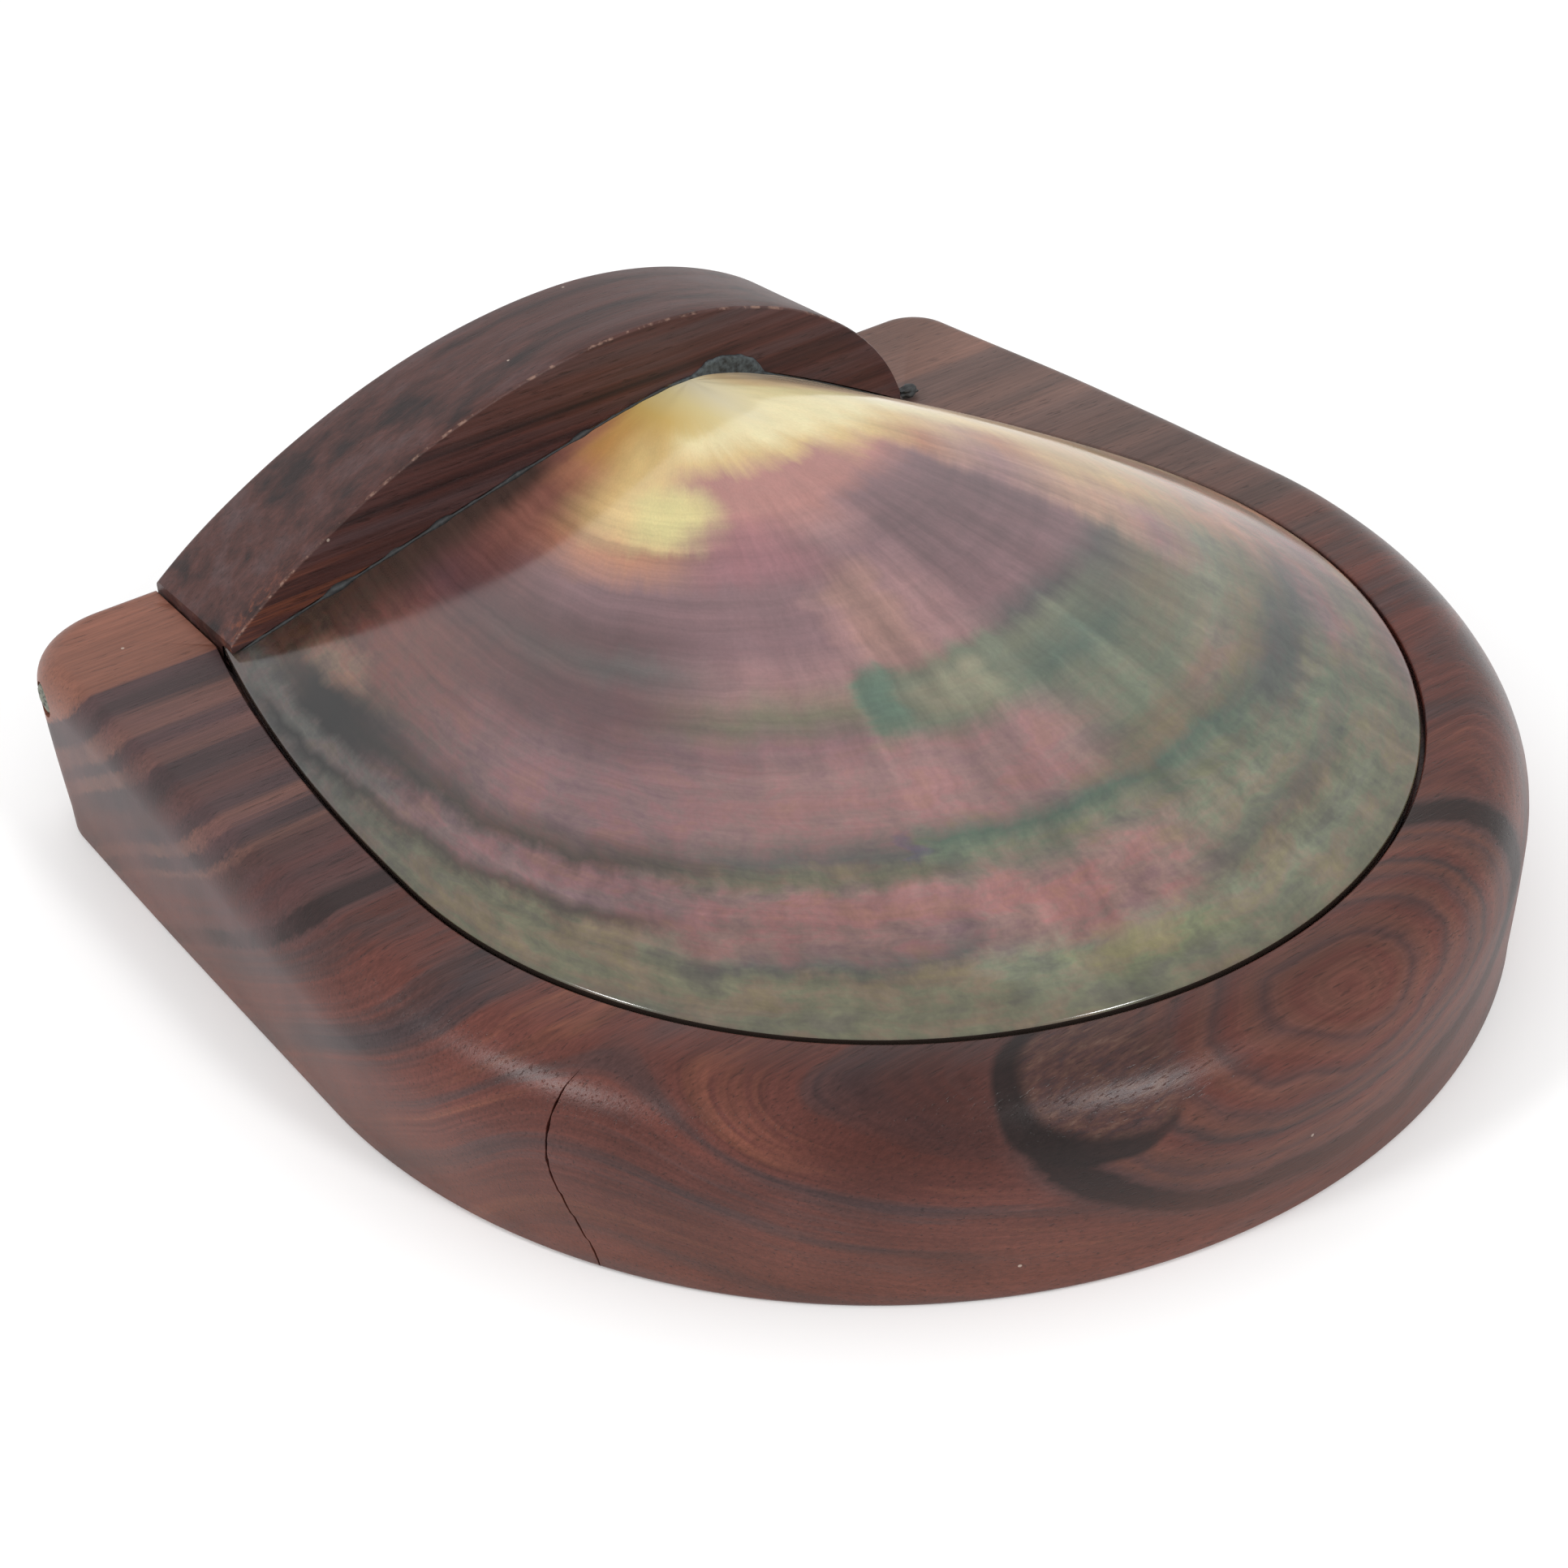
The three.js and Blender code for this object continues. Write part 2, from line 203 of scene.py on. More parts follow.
def ring_skin(rings):
    """A closed solid through rings of points, each ring a list of the same length, capped at both ends."""
    bm = bmesh.new()
    loop = bmesh.ops.create_circle(bm, segments=len(rings[0]), radius=1)["verts"]

    def put(points):
        for vert, point in zip(loop, points):
            vert.co = point
        return [bm.edges.get(pair) for pair in zip(loop, loop[1:] + loop[:1])]

    edges = put(rings[0])
    bmesh.ops.contextual_create(bm, geom=edges)
    for points in rings[1:]:
        made = set(bmesh.ops.extrude_edge_only(bm, edges=edges)["geom"])
        loop = [next(e.other_vert(old) for e in old.link_edges if e.other_vert(old) in made) for old in loop]
        edges = put(points)
    bmesh.ops.contextual_create(bm, geom=edges)
    bmesh.ops.recalc_face_normals(bm, faces=bm.faces)
    return bm


def waver(bm, amount, length, keep):
    """Presses a skin in a little here and there, as hand sanding does, where `keep` allows."""
    bm.normal_update()
    for vert in bm.verts:
        share = keep(vert.co)
        if share > 0:
            depth = amount * (0.5 + 0.5 * noise.noise(vert.co / length))
            vert.co -= vert.normal * depth * share


# ---- outlines -------------------------------------------------------------------------------------

def smooth(value, low, high):
    """0 up to low, 1 from high on, and a soft rise between them."""
    t = min(max((value - low) / (high - low), 0), 1)
    return t * t * (3 - 2 * t)


def lerp(a, b, t):
    """A number on the way from one to another."""
    return a + (b - a) * t


def heading(angle):
    """The unit vector in plan at an angle from +X."""
    return Vector((math.cos(angle), math.sin(angle), 0))


def quarter_round(radius, *degrees):
    """How far a rounding stands off the face it runs to and off the one it left, at some turns round it."""
    return [(radius * (1 - math.sin(a)), radius * (1 - math.cos(a))) for a in map(math.radians, degrees)]


def arc(centre, radius, start, end, pieces):
    """Points of an arc in plan, without its last one."""
    angles = (start + (end - start) * i / pieces for i in range(pieces))
    return [Vector((centre.x + radius * math.cos(a), centre.y + radius * math.sin(a), 0)) for a in angles]


def run(start, end, pieces):
    """Points of a straight run in plan, without its last one."""
    return [start.lerp(end, i / pieces) for i in range(pieces)]


def body_outline(body):
    """A belt round three circles: the round front and the two back corners."""
    left = Vector((body.corner_left - body.back_left, body.radius - body.corner_left, 0))
    right = Vector((body.back_right - body.corner_right, body.radius - body.corner_right, 0))

    def tangent(corner, radius, side):
        swing = math.acos((body.radius - radius) / corner.length)
        return math.atan2(corner.y, corner.x) + side * swing

    left_turn = tangent(left, body.corner_left, 1)
    right_turn = tangent(right, body.corner_right, -1)
    middle, quarter = Vector((0, 0, 0)), math.pi / 2
    front_left = middle + body.radius * heading(left_turn)
    front_right = middle + body.radius * heading(right_turn)
    side_left = left + body.corner_left * heading(left_turn)
    side_right = right + body.corner_right * heading(right_turn)
    back_left = left + body.corner_left * heading(quarter)
    back_right = right + body.corner_right * heading(quarter)
    return [
        *arc(middle, body.radius, left_turn, right_turn + 2 * math.pi, 260),
        *run(front_right, side_right, 40),
        *arc(right, body.corner_right, right_turn, quarter, 18),
        *run(back_right, back_left, 60),
        *arc(left, body.corner_left, quarter, left_turn, 20),
        *run(side_left, front_left, 40),
    ]


def shell_outline(shell, grow=0.0, back=None):
    """The rim of the shell: a half ellipse in front, then two curves that draw in to the hinge."""
    k = 1 + grow / shell.half_length
    wide, long = shell.half_width * k, shell.half_length * k
    back = SHELL_HIGH.y if back is None else back
    front = [Vector((wide * math.cos(a), long * math.sin(a), 0))
             for a in (math.pi * (1 + i / 180) for i in range(181))]

    def at(x, y):
        return Vector((x, y, 0)) * k

    right = interpolate_bezier(at(shell.half_width, 0), at(shell.half_width, mm(18)),
                               at(mm(63), mm(40)), at(mm(48.5), mm(66)), 60)
    left = interpolate_bezier(at(mm(-63.2), mm(66)), at(mm(-69.5), mm(40)),
                              at(-shell.half_width, mm(20)), at(-shell.half_width, 0), 60)
    return [Vector((p.x, min(p.y, back), 0)) for p in front + right[1:] + left[:-1]]


class Reach:
    """How far an outline lies from a point inside it, by direction."""

    def __init__(self, outline, centre):
        self.centre = centre
        dense = []
        for a, b in zip(outline, outline[1:] + outline[:1]):
            pieces = max(1, int((b - a).length / mm(0.5)))
            dense += run(a, b, pieces)
        table = sorted((math.atan2(p.y - centre.y, p.x - centre.x), (p - centre).length) for p in dense)
        first, last = table[0], table[-1]
        turn = 2 * math.pi
        self.table = [(last[0] - turn, last[1]), *table, (first[0] + turn, first[1])]

    def at(self, angle):
        """How far the outline lies in one direction."""
        angle = math.atan2(math.sin(angle), math.cos(angle))
        i = max(1, bisect_left(self.table, (angle, 0)))
        (a0, r0), (a1, r1) = self.table[i - 1], self.table[i]
        return r0 + (r1 - r0) * (angle - a0) / max(a1 - a0, 1e-9)

    def towards(self, point, more=0.0):
        """Where the ray through a point meets the outline, moved out by `more`."""
        angle = math.atan2(point.y - self.centre.y, point.x - self.centre.x)
        return self.centre + (self.at(angle) + more) * heading(angle)


# ---- the carved box -------------------------------------------------------------------------------

EDGE_BACK = {"width": mm(3.6), "height": mm(5.5), "taper": mm(0.5)}
EDGE_FRONT = {"width": mm(10), "height": mm(11.5), "taper": mm(1.2)}
EDGE_BLEND = (mm(66), mm(-44))      # stretch of Y over which the rounding grows
FOOT_LEAN = 0.8                     # how much more the left wall tapers than the right one
FOOT_CURVE = 1.4
FOOT_ARRIS = mm(0.8)
HOLLOW_BACK = mm(53.4)
COVE = mm(2.4)                      # rounding between the floor and the walls of the hollow
FLAT = mm(4)                        # a ring this far inside a flat face keeps its shading level
NOTCH = {"left": mm(-64.3), "right": mm(52.5), "front": mm(58.2), "bottom": mm(15)}
PAST = mm(5)                        # how far a cutter reaches past what it cuts
PIN_HOLE = mm(2.6)
CRACK = {"y": mm(-39.4), "drift": mm(3.4), "waver": mm(0.12), "foot": mm(-0.7), "depth": mm(2.2),
         "proud": mm(1)}
CRACK_STEPS, CRACK_BEND = 64, 26    # steps along the crack, and how many of them lie on the rounding


def wall_at(body, p):
    """Width, height and taper of the rounded wall at a place in plan."""
    t = smooth(EDGE_BLEND[0] - p.y, 0, EDGE_BLEND[0] - EDGE_BLEND[1])
    width, height, taper = (lerp(EDGE_BACK[k], EDGE_FRONT[k], t) for k in ("width", "height", "taper"))
    return width, height, taper * (1 - FOOT_LEAN * p.x / body.radius)


def outside(body, p, inset, z):
    """A point of the outer skin: a belt point moved in towards the middle."""
    return Vector((p.x * (1 - inset / body.radius), p.y * (1 - inset / body.radius), z))


def wall_point(body, p, z):
    """A point of the outer wall over a belt point, at a height up to the start of the rounding."""
    _, height, taper = wall_at(body, p)
    below = max(1 - z / (body.height - height), 0)
    return outside(body, p, taper * below ** FOOT_CURVE, z)


def outer_rings(body, belt):
    """Rings of the outer skin, from inside the flat underside up over the wall to the flat top."""
    def foot(p, turn):
        taper = wall_at(body, p)[2]
        return outside(body, p, taper + FOOT_ARRIS * (1 - math.sin(turn)), FOOT_ARRIS * (1 - math.cos(turn)))

    def level(p, share):
        widest = body.height - wall_at(body, p)[1]
        return wall_point(body, p, FOOT_ARRIS + (widest - FOOT_ARRIS) * share)

    def rounding(p, share):
        width, height, _ = wall_at(body, p)
        turn = share * math.pi / 2
        return outside(body, p, width * (1 - math.cos(turn)), body.height - height * (1 - math.sin(turn)))

    return [
        [outside(body, p, wall_at(body, p)[2] + FOOT_ARRIS + FLAT, 0) for p in belt],
        *([foot(p, i / 4 * math.pi / 2) for p in belt] for i in range(4)),
        *([level(p, i / 7) for p in belt] for i in range(8)),
        *([rounding(p, i / 16) for p in belt] for i in range(1, 17)),
        [outside(body, p, wall_at(body, p)[0] + mm(0.4), body.height) for p in belt],
    ]


def inner_rings(body, shell, belt):
    """Rings of the rebate, the ledge and the hollow, from the flat top down to inside the floor."""
    middle = Vector((0, 0, 0))
    rebate = Reach(shell_outline(shell, body.rebate_gap), middle)
    hollow = Reach(shell_outline(shell, -body.ledge, HOLLOW_BACK), middle)
    ledge = body.height - body.rebate_depth
    steps = [
        *((rebate, out, body.height - down) for out, down in quarter_round(body.arris, 0, 30, 60, 90)),
        (rebate, 0, ledge),
        *((hollow, out, ledge - down) for out, down in quarter_round(body.arris, 0, 45, 90)),
        *((hollow, -out, body.floor + up) for up, out in quarter_round(COVE, 0, 22.5, 45, 67.5, 90)),
        (hollow, -COVE - FLAT, body.floor),
    ]
    return [[reach.towards(p, more) + Vector((0, 0, z)) for p in belt] for reach, more, z in steps]


def notch_cutter(body):
    """The slot for the hinge block, with a flare that eases the edges that it cuts."""
    ease = body.arris * 0.8
    flare = ease + mm(3)
    steps = [
        (0, NOTCH["bottom"]),
        *((out, body.height - down) for down, out in quarter_round(ease, 0, 30, 60, 90)),
        (flare, body.height + mm(0.001)),
        (flare, body.height + PAST),
    ]
    far = body.radius + PAST
    rings = []
    for grow, z in steps:
        left, right, front = NOTCH["left"] - grow, NOTCH["right"] + grow, NOTCH["front"] - grow
        corners = ((left, front), (right, front), (right, far), (left, far))
        rings.append([Vector((x, y, z)) for x, y in corners])
    return ring_skin(rings)


def axis_ring(x, radius, sides):
    """Points of a circle round the hinge axis."""
    angles = (2 * math.pi * k / sides for k in range(sides))
    return [Vector((x, LID_AXIS.y + radius * math.cos(a), LID_AXIS.z + radius * math.sin(a))) for a in angles]


def pin_hole(start, end):
    """A closed rod along the hinge axis that cuts the hole for a pin."""
    return ring_skin([axis_ring(x, PIN_HOLE, 40) for x in (start, end)])


def crack_cutter(body):
    """A thin ragged wedge that runs over the rounding and down the front left wall to the foot."""
    belt = [p for p in body_outline(body) if p.x < 0]
    rings = []
    for i in range(CRACK_STEPS + 1):
        y = CRACK["y"] - CRACK["drift"] * smooth(i, CRACK_BEND, CRACK_STEPS)
        y += CRACK["waver"] * noise.noise(Vector((0, 3.1, i / 4.3)))
        p = min(belt, key=lambda q: abs(q.y - y))
        width, height, _ = wall_at(body, p)
        widest = body.height - height
        turn = math.radians(84) * max(1 - i / CRACK_BEND, 0)
        if i < CRACK_BEND:
            surface = outside(body, p, width * (1 - math.cos(turn)), widest + height * math.sin(turn))
        else:
            z = lerp(widest, CRACK["foot"], (i - CRACK_BEND) / (CRACK_STEPS - CRACK_BEND))
            surface = wall_point(body, p, max(z, 0))
            surface.z = z
        surface.y = y
        out = Vector((p.x, p.y, 0)).normalized() * math.cos(turn) + Vector((0, 0, math.sin(turn)))
        aside = Vector((-p.y, p.x, 0)).normalized()
        wide = body.crack / 2 * (0.85 + 0.7 * noise.noise(Vector((7, 1, i / 2.6))))
        wide *= 0.15 + 0.85 * smooth(i, 0, 12)
        mouth = aside * wide * 1.4
        deep = CRACK["depth"] * (0.2 + 0.8 * smooth(i, 0, 14))
        over = surface + out * CRACK["proud"]
        rings.append([over + mouth, over - mouth, surface - out * deep])
    return ring_skin(rings)


def on_wall(p):
    """How far a place may be pressed in: fully on the outer wall, and not at the foot, back or middle."""
    return smooth(p.z, mm(0.5), mm(3)) * smooth(p.xy.length, mm(77), mm(83)) * smooth(mm(84) - p.y, 0, mm(6))


class SHELLBOX_OT_body(bpy.types.Operator):
    """Make the carved rosewood box with its hollow, rebate, hinge notch and drying crack"""
    bl_idname = "shellbox.body"
    bl_label = "Carved box"

    def execute(self, context):
        body, shell = context.scene.shellbox_body, context.scene.shellbox_shell
        belt = body_outline(body)
        skin = ring_skin(outer_rings(body, belt) + inner_rings(body, shell, belt))
        waver(skin, mm(0.22), mm(17), on_wall)
        end = body.radius + PAST
        mesh = cut(skin, notch_cutter(body), pin_hole(-end, end), crack_cutter(body))
        finish_piece("rosewood_box", mesh, "box", "box_wood", rosewood(body), "box_body")
        return {"FINISHED"}


# ---- the shell ------------------------------------------------------------------------------------

UMBO = Vector((mm(13), mm(60), 0))
GROWTH_HEART = Vector((mm(10), mm(60), 0))     # where the growth rays of the nacre meet
UMBO_HEIGHT = mm(16.8)
UMBO_SOFT = mm(6)                   # how broadly the tip is rounded over
DOME_POWER = {"left": 1.08, "right": 1.15, "front": 2.0}
RIM_EDGE = mm(0.5)                  # rounding of the rim
EDGE_AGE = 1.04                     # age on the growth map all over the edge, between the two faces


def dome_of(shell, body_height):
    """A function that gives the height of the outer face of the shell at a place in plan."""
    reach = Reach(shell_outline(shell), UMBO)
    base = body_height + shell.proud

    def height(x, y):
        forward, aside = max(UMBO.y - y, 0), x - UMBO.x
        distance = math.hypot(aside, forward)
        if distance < 1e-6:
            return base + UMBO_HEIGHT
        rim = reach.at(math.atan2(-forward, aside))
        soft = math.hypot(distance, UMBO_SOFT) - UMBO_SOFT
        way = min(soft / (math.hypot(rim, UMBO_SOFT) - UMBO_SOFT), 1)
        frontness = (forward / distance) ** (2 if aside < 0 else 2.8)
        sideways = DOME_POWER["left"] if aside < 0 else DOME_POWER["right"]
        power = lerp(sideways, DOME_POWER["front"], frontness)
        return base + (UMBO_HEIGHT * (1 - way ** power) + shell.swell * 4 * way * (1 - way) * frontness)

    return height


def even_points(outline, count):
    """Points spaced evenly round a closed outline."""
    lengths = [(b - a).length for a, b in zip(outline, outline[1:] + outline[:1])]
    total, points, walked, i = sum(lengths), [], 0.0, 0
    for k in range(count):
        want = total * k / count
        while walked + lengths[i] < want:
            walked += lengths[i]
            i += 1
        a, b = outline[i], outline[(i + 1) % len(outline)]
        points.append(a.lerp(b, (want - walked) / max(lengths[i], 1e-9)))
    return points


def shell_skin(shell, body_height, grow=0.0, around=240, across=46, relief=0.0):
    """The valve as a curved plate, as rings round the umbo: outer face, rim, inner face."""
    dome = dome_of(shell, body_height)
    outline = even_points(shell_outline(shell, grow, SHELL_HIGH.y + grow), around)

    def top(p, share):
        height = dome(p.x, p.y) + grow
        if relief:
            angle = math.atan2(p.x - UMBO.x, UMBO.y - p.y)
            dents = 0.5 + 0.5 * noise.noise(Vector((angle * 3, share * 3, 0)))
            ridges = 0.5 + 0.5 * noise.noise(Vector((angle * 2.2, share * 34, 5)))
            height -= relief * (dents + 0.35 * smooth(share, 0.5, 1) * ridges)
        return Vector((p.x, p.y, height))

    def under(p, share):
        thick = lerp(shell.thickness, shell.rim_thickness, share ** 4)
        return Vector((p.x, p.y, dome(p.x, p.y) - thick - grow))

    def rim(face, side, *degrees):
        rings = []
        for inward, turned in quarter_round(RIM_EDGE, *degrees):
            ring = [face(p + (UMBO - p).normalized() * inward, 1) for p in outline]
            for spot in ring:
                spot.z += side * turned
            rings.append(ring)
        return rings

    shares = [1 - (1 - i / across) ** 1.25 for i in range(1, across)]
    shares.insert(0, 0.004)
    return ring_skin([
        *([top(UMBO.lerp(p, s), s) for p in outline] for s in shares),
        *rim(top, -1, 10, 35, 60, 90),
        *rim(under, 1, 90, 45, 0),
        *([under(UMBO.lerp(p, s), s) for p in outline] for s in reversed(shares[::2])),
    ])


def lay_growth_map(mesh, shell):
    """A UV map that runs with the growth of the shell: ray from the umbo across, age along.

    Age is 0 at the umbo and 1 at the rim, and runs on to 2 where the inner face is back at the umbo.
    """
    heart = GROWTH_HEART
    plain = Reach(shell_outline(shell), heart)
    layer = mesh.uv_layers.new(name="growth")
    for face in mesh.polygons:
        for corner in face.loop_indices:
            p = mesh.vertices[mesh.loops[corner].vertex_index].co
            ray = math.atan2(p.x - heart.x, heart.y - p.y)
            age = math.hypot(p.x - heart.x, p.y - heart.y) / plain.at(ray - math.pi / 2)
            if face.normal.z < -0.25:
                age = 2 - age
            elif face.normal.z < 0.25:
                age = EDGE_AGE
            layer.data[corner].uv = (ray / math.pi, age)


class SHELLBOX_OT_shell(bpy.types.Operator):
    """Make the polished pearl-oyster shell that closes the box"""
    bl_idname = "shellbox.shell"
    bl_label = "Pearl-oyster shell"

    def execute(self, context):
        shell = context.scene.shellbox_shell
        mesh = mesh_of(shell_skin(shell, context.scene.shellbox_body.height, relief=mm(0.12)))
        lay_growth_map(mesh, shell)
        finish_piece("pearl_shell", mesh, "lid", "shell_nacre", nacre(), "shell_lid", sharp=50)
        return {"FINISHED"}


# ---- the hinge block ------------------------------------------------------------------------------

CROWN_X = mm(5)
ARCH_LEFT = {"inward": mm(14), "up": mm(12), "crown": mm(-22)}
ARCH_RIGHT = {"inward": mm(4.5), "up": mm(15), "crown": mm(28)}
BACK_EDGE = mm(0.9)                 # rounding of the back edge of the arch
BOTTOM_EASE = mm(0.3)
PIN_DEPTH = mm(18.4)                # how far the holes for the pins run into the ends of the block
SLOT_GAP = mm(0.3)                  # room round the shell in the slot that takes it


def note_wear(mesh):
    """Marks the front top arris, which hands have rubbed pale, as an attribute of the mesh."""
    wear = mesh.attributes.new("wear", "FLOAT", "POINT")
    for vert in mesh.vertices:
        rubbed = vert.normal.y < -0.25 and vert.normal.z > 0.25
        wear.data[vert.index].value = 1.0 if rubbed else 0.0


def arch(body, block):
    """Points of the arch from its left end to its right one, in X and Z."""
    shoulder, crown = body.height + block.shoulder, body.height + block.rise
    left, right = BLOCK_LOW.x, BLOCK_HIGH.x

    def at(x, z):
        return Vector((x, 0, z))

    rise = interpolate_bezier(at(left, shoulder), at(left + ARCH_LEFT["inward"], shoulder + ARCH_LEFT["up"]),
                              at(ARCH_LEFT["crown"], crown), at(CROWN_X, crown), 90)
    fall = interpolate_bezier(at(CROWN_X, crown), at(ARCH_RIGHT["crown"], crown),
                              at(right - ARCH_RIGHT["inward"], shoulder + ARCH_RIGHT["up"]),
                              at(right, shoulder), 90)
    return rise + fall[1:]


def block_section(block, x, top, bottom, back):
    """One section of the block across its length, as a closed ring from the front face round."""
    front, ease = block.front, block.arris
    drop = block.back_drop * max(top - bottom, 0) / (BLOCK_HIGH.z - bottom)
    start, end = front + ease, back - BACK_EDGE
    heel_turns = (-i / 8 * math.pi / 2 for i in range(1, 9))
    points = [
        *((front, lerp(bottom + BOTTOM_EASE, top - ease, i / 6)) for i in range(7)),
        *((front + turned, top - down) for down, turned in quarter_round(ease, 30, 60, 90)),
        *((lerp(start, end, i / 6), top - drop * (i / 6)) for i in range(1, 7)),
        *((back - inward, top - drop - down) for inward, down in quarter_round(BACK_EDGE, 30, 60, 90)),
        *((back, lerp(top - drop - BACK_EDGE, LID_AXIS.z, i / 4)) for i in range(1, 5)),
        *((LID_AXIS.y + block.heel * math.cos(a), LID_AXIS.z + block.heel * math.sin(a)) for a in heel_turns),
        *((lerp(LID_AXIS.y, front + BOTTOM_EASE, i / 3), bottom) for i in range(1, 4)),
    ]
    return [Vector((x, y, z)) for y, z in points]


class SHELLBOX_OT_block(bpy.types.Operator):
    """Make the arched hinge block that holds the shell"""
    bl_idname = "shellbox.block"
    bl_label = "Hinge block"

    def execute(self, context):
        scene = context.scene
        body, block, shell = scene.shellbox_body, scene.shellbox_block, scene.shellbox_shell
        bottom, back = LID_AXIS.z - block.heel, LID_AXIS.y + block.heel
        skin = ring_skin([block_section(block, p.x, p.z, bottom, back) for p in arch(body, block)])
        waver(skin, mm(0.18), mm(14), lambda p: smooth(p.z, body.height, body.height + mm(4)))
        slot = shell_skin(shell, body.height, grow=SLOT_GAP, around=120, across=20)
        mesh = cut(skin, slot, pin_hole(BLOCK_LOW.x - PAST, BLOCK_LOW.x + PIN_DEPTH),
                   pin_hole(BLOCK_HIGH.x - PIN_DEPTH, BLOCK_HIGH.x + PAST))
        note_wear(mesh)
        finish_piece("hinge_arch", mesh, "lid", "hinge_wood", block_wood(block), "hinge_block")
        return {"FINISHED"}


# ---- filler and pins ------------------------------------------------------------------------------

BEAD_LEFT, BEAD_RIGHT = mm(-62.5), mm(51.4)
BEAD_STEPS, BEAD_SIDES = 240, 9
BEAD_THINS = (mm(14), mm(24))       # stretch of X over which the bead gets thinner to the right
BLOBS = (
    # place along X and half length in millimetres, extra thickness in radii of the bead
    (-47, 3.2, 1.7), (-38, 1.6, 0.8), (-30, 2.4, 1.3), (-17, 3.5, 0.9), (-6, 2.2, 1.1), (26, 3, 0.8),
)
PATCH_X, PATCH_HALF, PATCH_TALL = mm(19.8), mm(7.6), mm(2.7)
PATCH_LAYERS = ((1, 0.02), (0.97, 0.22), (0.8, 0.32), (0.5, 0.38), (0.2, 0.4))  # share, relief in mm
CRUMB_AT = Vector((mm(53.6), mm(60.6), mm(1.15)))   # its height counts from the top of the box
CRUMB_SIZE = (mm(1.9), mm(1.1), mm(0.7))
PIN_OUT = mm(0.7)                   # how far the pins end outside the CAD ones
PIN_END = ((0.5, 1), (0.2, 0.93), (0.05, 0.78), (0.02, 0.5), (0.05, 0.2))  # depth in mm, share of radius


def ragged(value, seed):
    """A number between 0 and 1 that wanders with a length in metres."""
    return 0.5 + 0.5 * noise.noise(Vector((value / mm(1.7), seed, 0.3)))


def bead_skin(dome, block, radius):
    """The bead of filler in the corner between the shell and the front of the block."""
    rings = []
    for i in range(BEAD_STEPS + 1):
        x = lerp(BEAD_LEFT, BEAD_RIGHT, i / BEAD_STEPS)
        y = block.front - radius * 0.1
        z = dome(x, y)
        fat = radius * (0.35 + 0.75 * ragged(x, 2)) * (smooth(i, -1, 3) * smooth(BEAD_STEPS - i, -1, 3))
        fat *= lerp(1, 0.5, smooth(x, *BEAD_THINS))
        for at, wide, more in BLOBS:
            fat += radius * more * smooth(1 - abs(x - mm(at)) / mm(wide), 0, 1)
        ring = []
        for k in range(BEAD_SIDES):
            a = 2 * math.pi * k / BEAD_SIDES
            lump = fat * (0.75 + 0.5 * ragged(x + k * mm(4), 5))
            ring.append(Vector((x, y + 0.8 * lump * math.cos(a), z + lump * math.sin(a))))
        rings.append(ring)
    return ring_skin(rings)


def umbo_patch(dome, block):
    """The patch of filler smeared up the block over the umbo."""
    left, right = PATCH_X - PATCH_HALF, PATCH_X + PATCH_HALF
    outline = []
    for i in range(64):
        a = 2 * math.pi * i / 64
        x = PATCH_X + PATCH_HALF * math.cos(a)
        foot = dome(x, block.front)
        tall = smooth(x, left, left + mm(6.8)) * smooth(right - x, 0, mm(3.2))
        tip = PATCH_TALL * tall * (0.85 + 0.3 * ragged(x * 1.1, 9))
        outline.append(Vector((x, 0, foot - mm(0.4) if math.sin(a) < 0 else foot + tip)))
    middle = sum(outline, Vector()) / len(outline)
    rings = [[Vector((p.x, block.front + mm(0.2), p.z)) for p in outline]]
    for share, proud in PATCH_LAYERS:
        ring = []
        for p in outline:
            q = middle.lerp(p, share)
            rough = 0.8 + 0.5 * noise.noise(q / mm(1.1))
            ring.append(Vector((q.x, block.front - mm(proud) * rough, q.z)))
        rings.append(ring)
    return ring_skin(rings)


def crumb(centre):
    """The small hard lump of squeezed-out filler at the right end of the joint."""
    bm = bmesh.new()
    bmesh.ops.create_icosphere(bm, subdivisions=3, radius=1)
    for vert in bm.verts:
        swell = 1 + 0.7 * noise.noise(vert.co * 1.7 + Vector((3, 0, 0)))
        vert.co = Vector([c + s * v * swell for c, s, v in zip(centre, CRUMB_SIZE, vert.co)])
    return bm


class SHELLBOX_OT_filler(bpy.types.Operator):
    """Make the grey filler along the joint between shell and block"""
    bl_idname = "shellbox.filler"
    bl_label = "Joint filler"

    def execute(self, context):
        scene = context.scene
        block, small, height = scene.shellbox_block, scene.shellbox_small, scene.shellbox_body.height
        dome = dome_of(scene.shellbox_shell, height)
        material = hard_filler(small)
        for name, bm, nodes in (
                ("filler_seam", bead_skin(dome, block, small.bead), ("filler_bead",)),
                ("filler_patch", umbo_patch(dome, block), ()),
                ("filler_crumb", crumb(CRUMB_AT + Vector((0, 0, height))), ())):
            finish_piece(name, mesh_of(bm), "lid", "joint_filler", material, *nodes, sharp=60)
        return {"FINISHED"}


def pin_skin(node, radius, outward):
    """A pin along the hinge axis whose outer end is hammered a little round."""
    low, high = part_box(node)
    outer, inner = (high.x, low.x) if outward > 0 else (low.x, high.x)
    outer += outward * PIN_OUT
    profile = [(inner, radius * 0.98), (lerp(inner, outer, 0.5), radius)]
    profile += [(outer - outward * mm(deep), radius * share) for deep, share in PIN_END]
    rings = [axis_ring(x, r, 36) for x, r in profile]
    for ring in rings:
        for p in ring:
            if abs(p.x - outer) < mm(0.3):
                p.x -= outward * mm(0.25) * (0.5 + 0.5 * noise.noise(p / mm(0.9)))
    return ring_skin(rings)


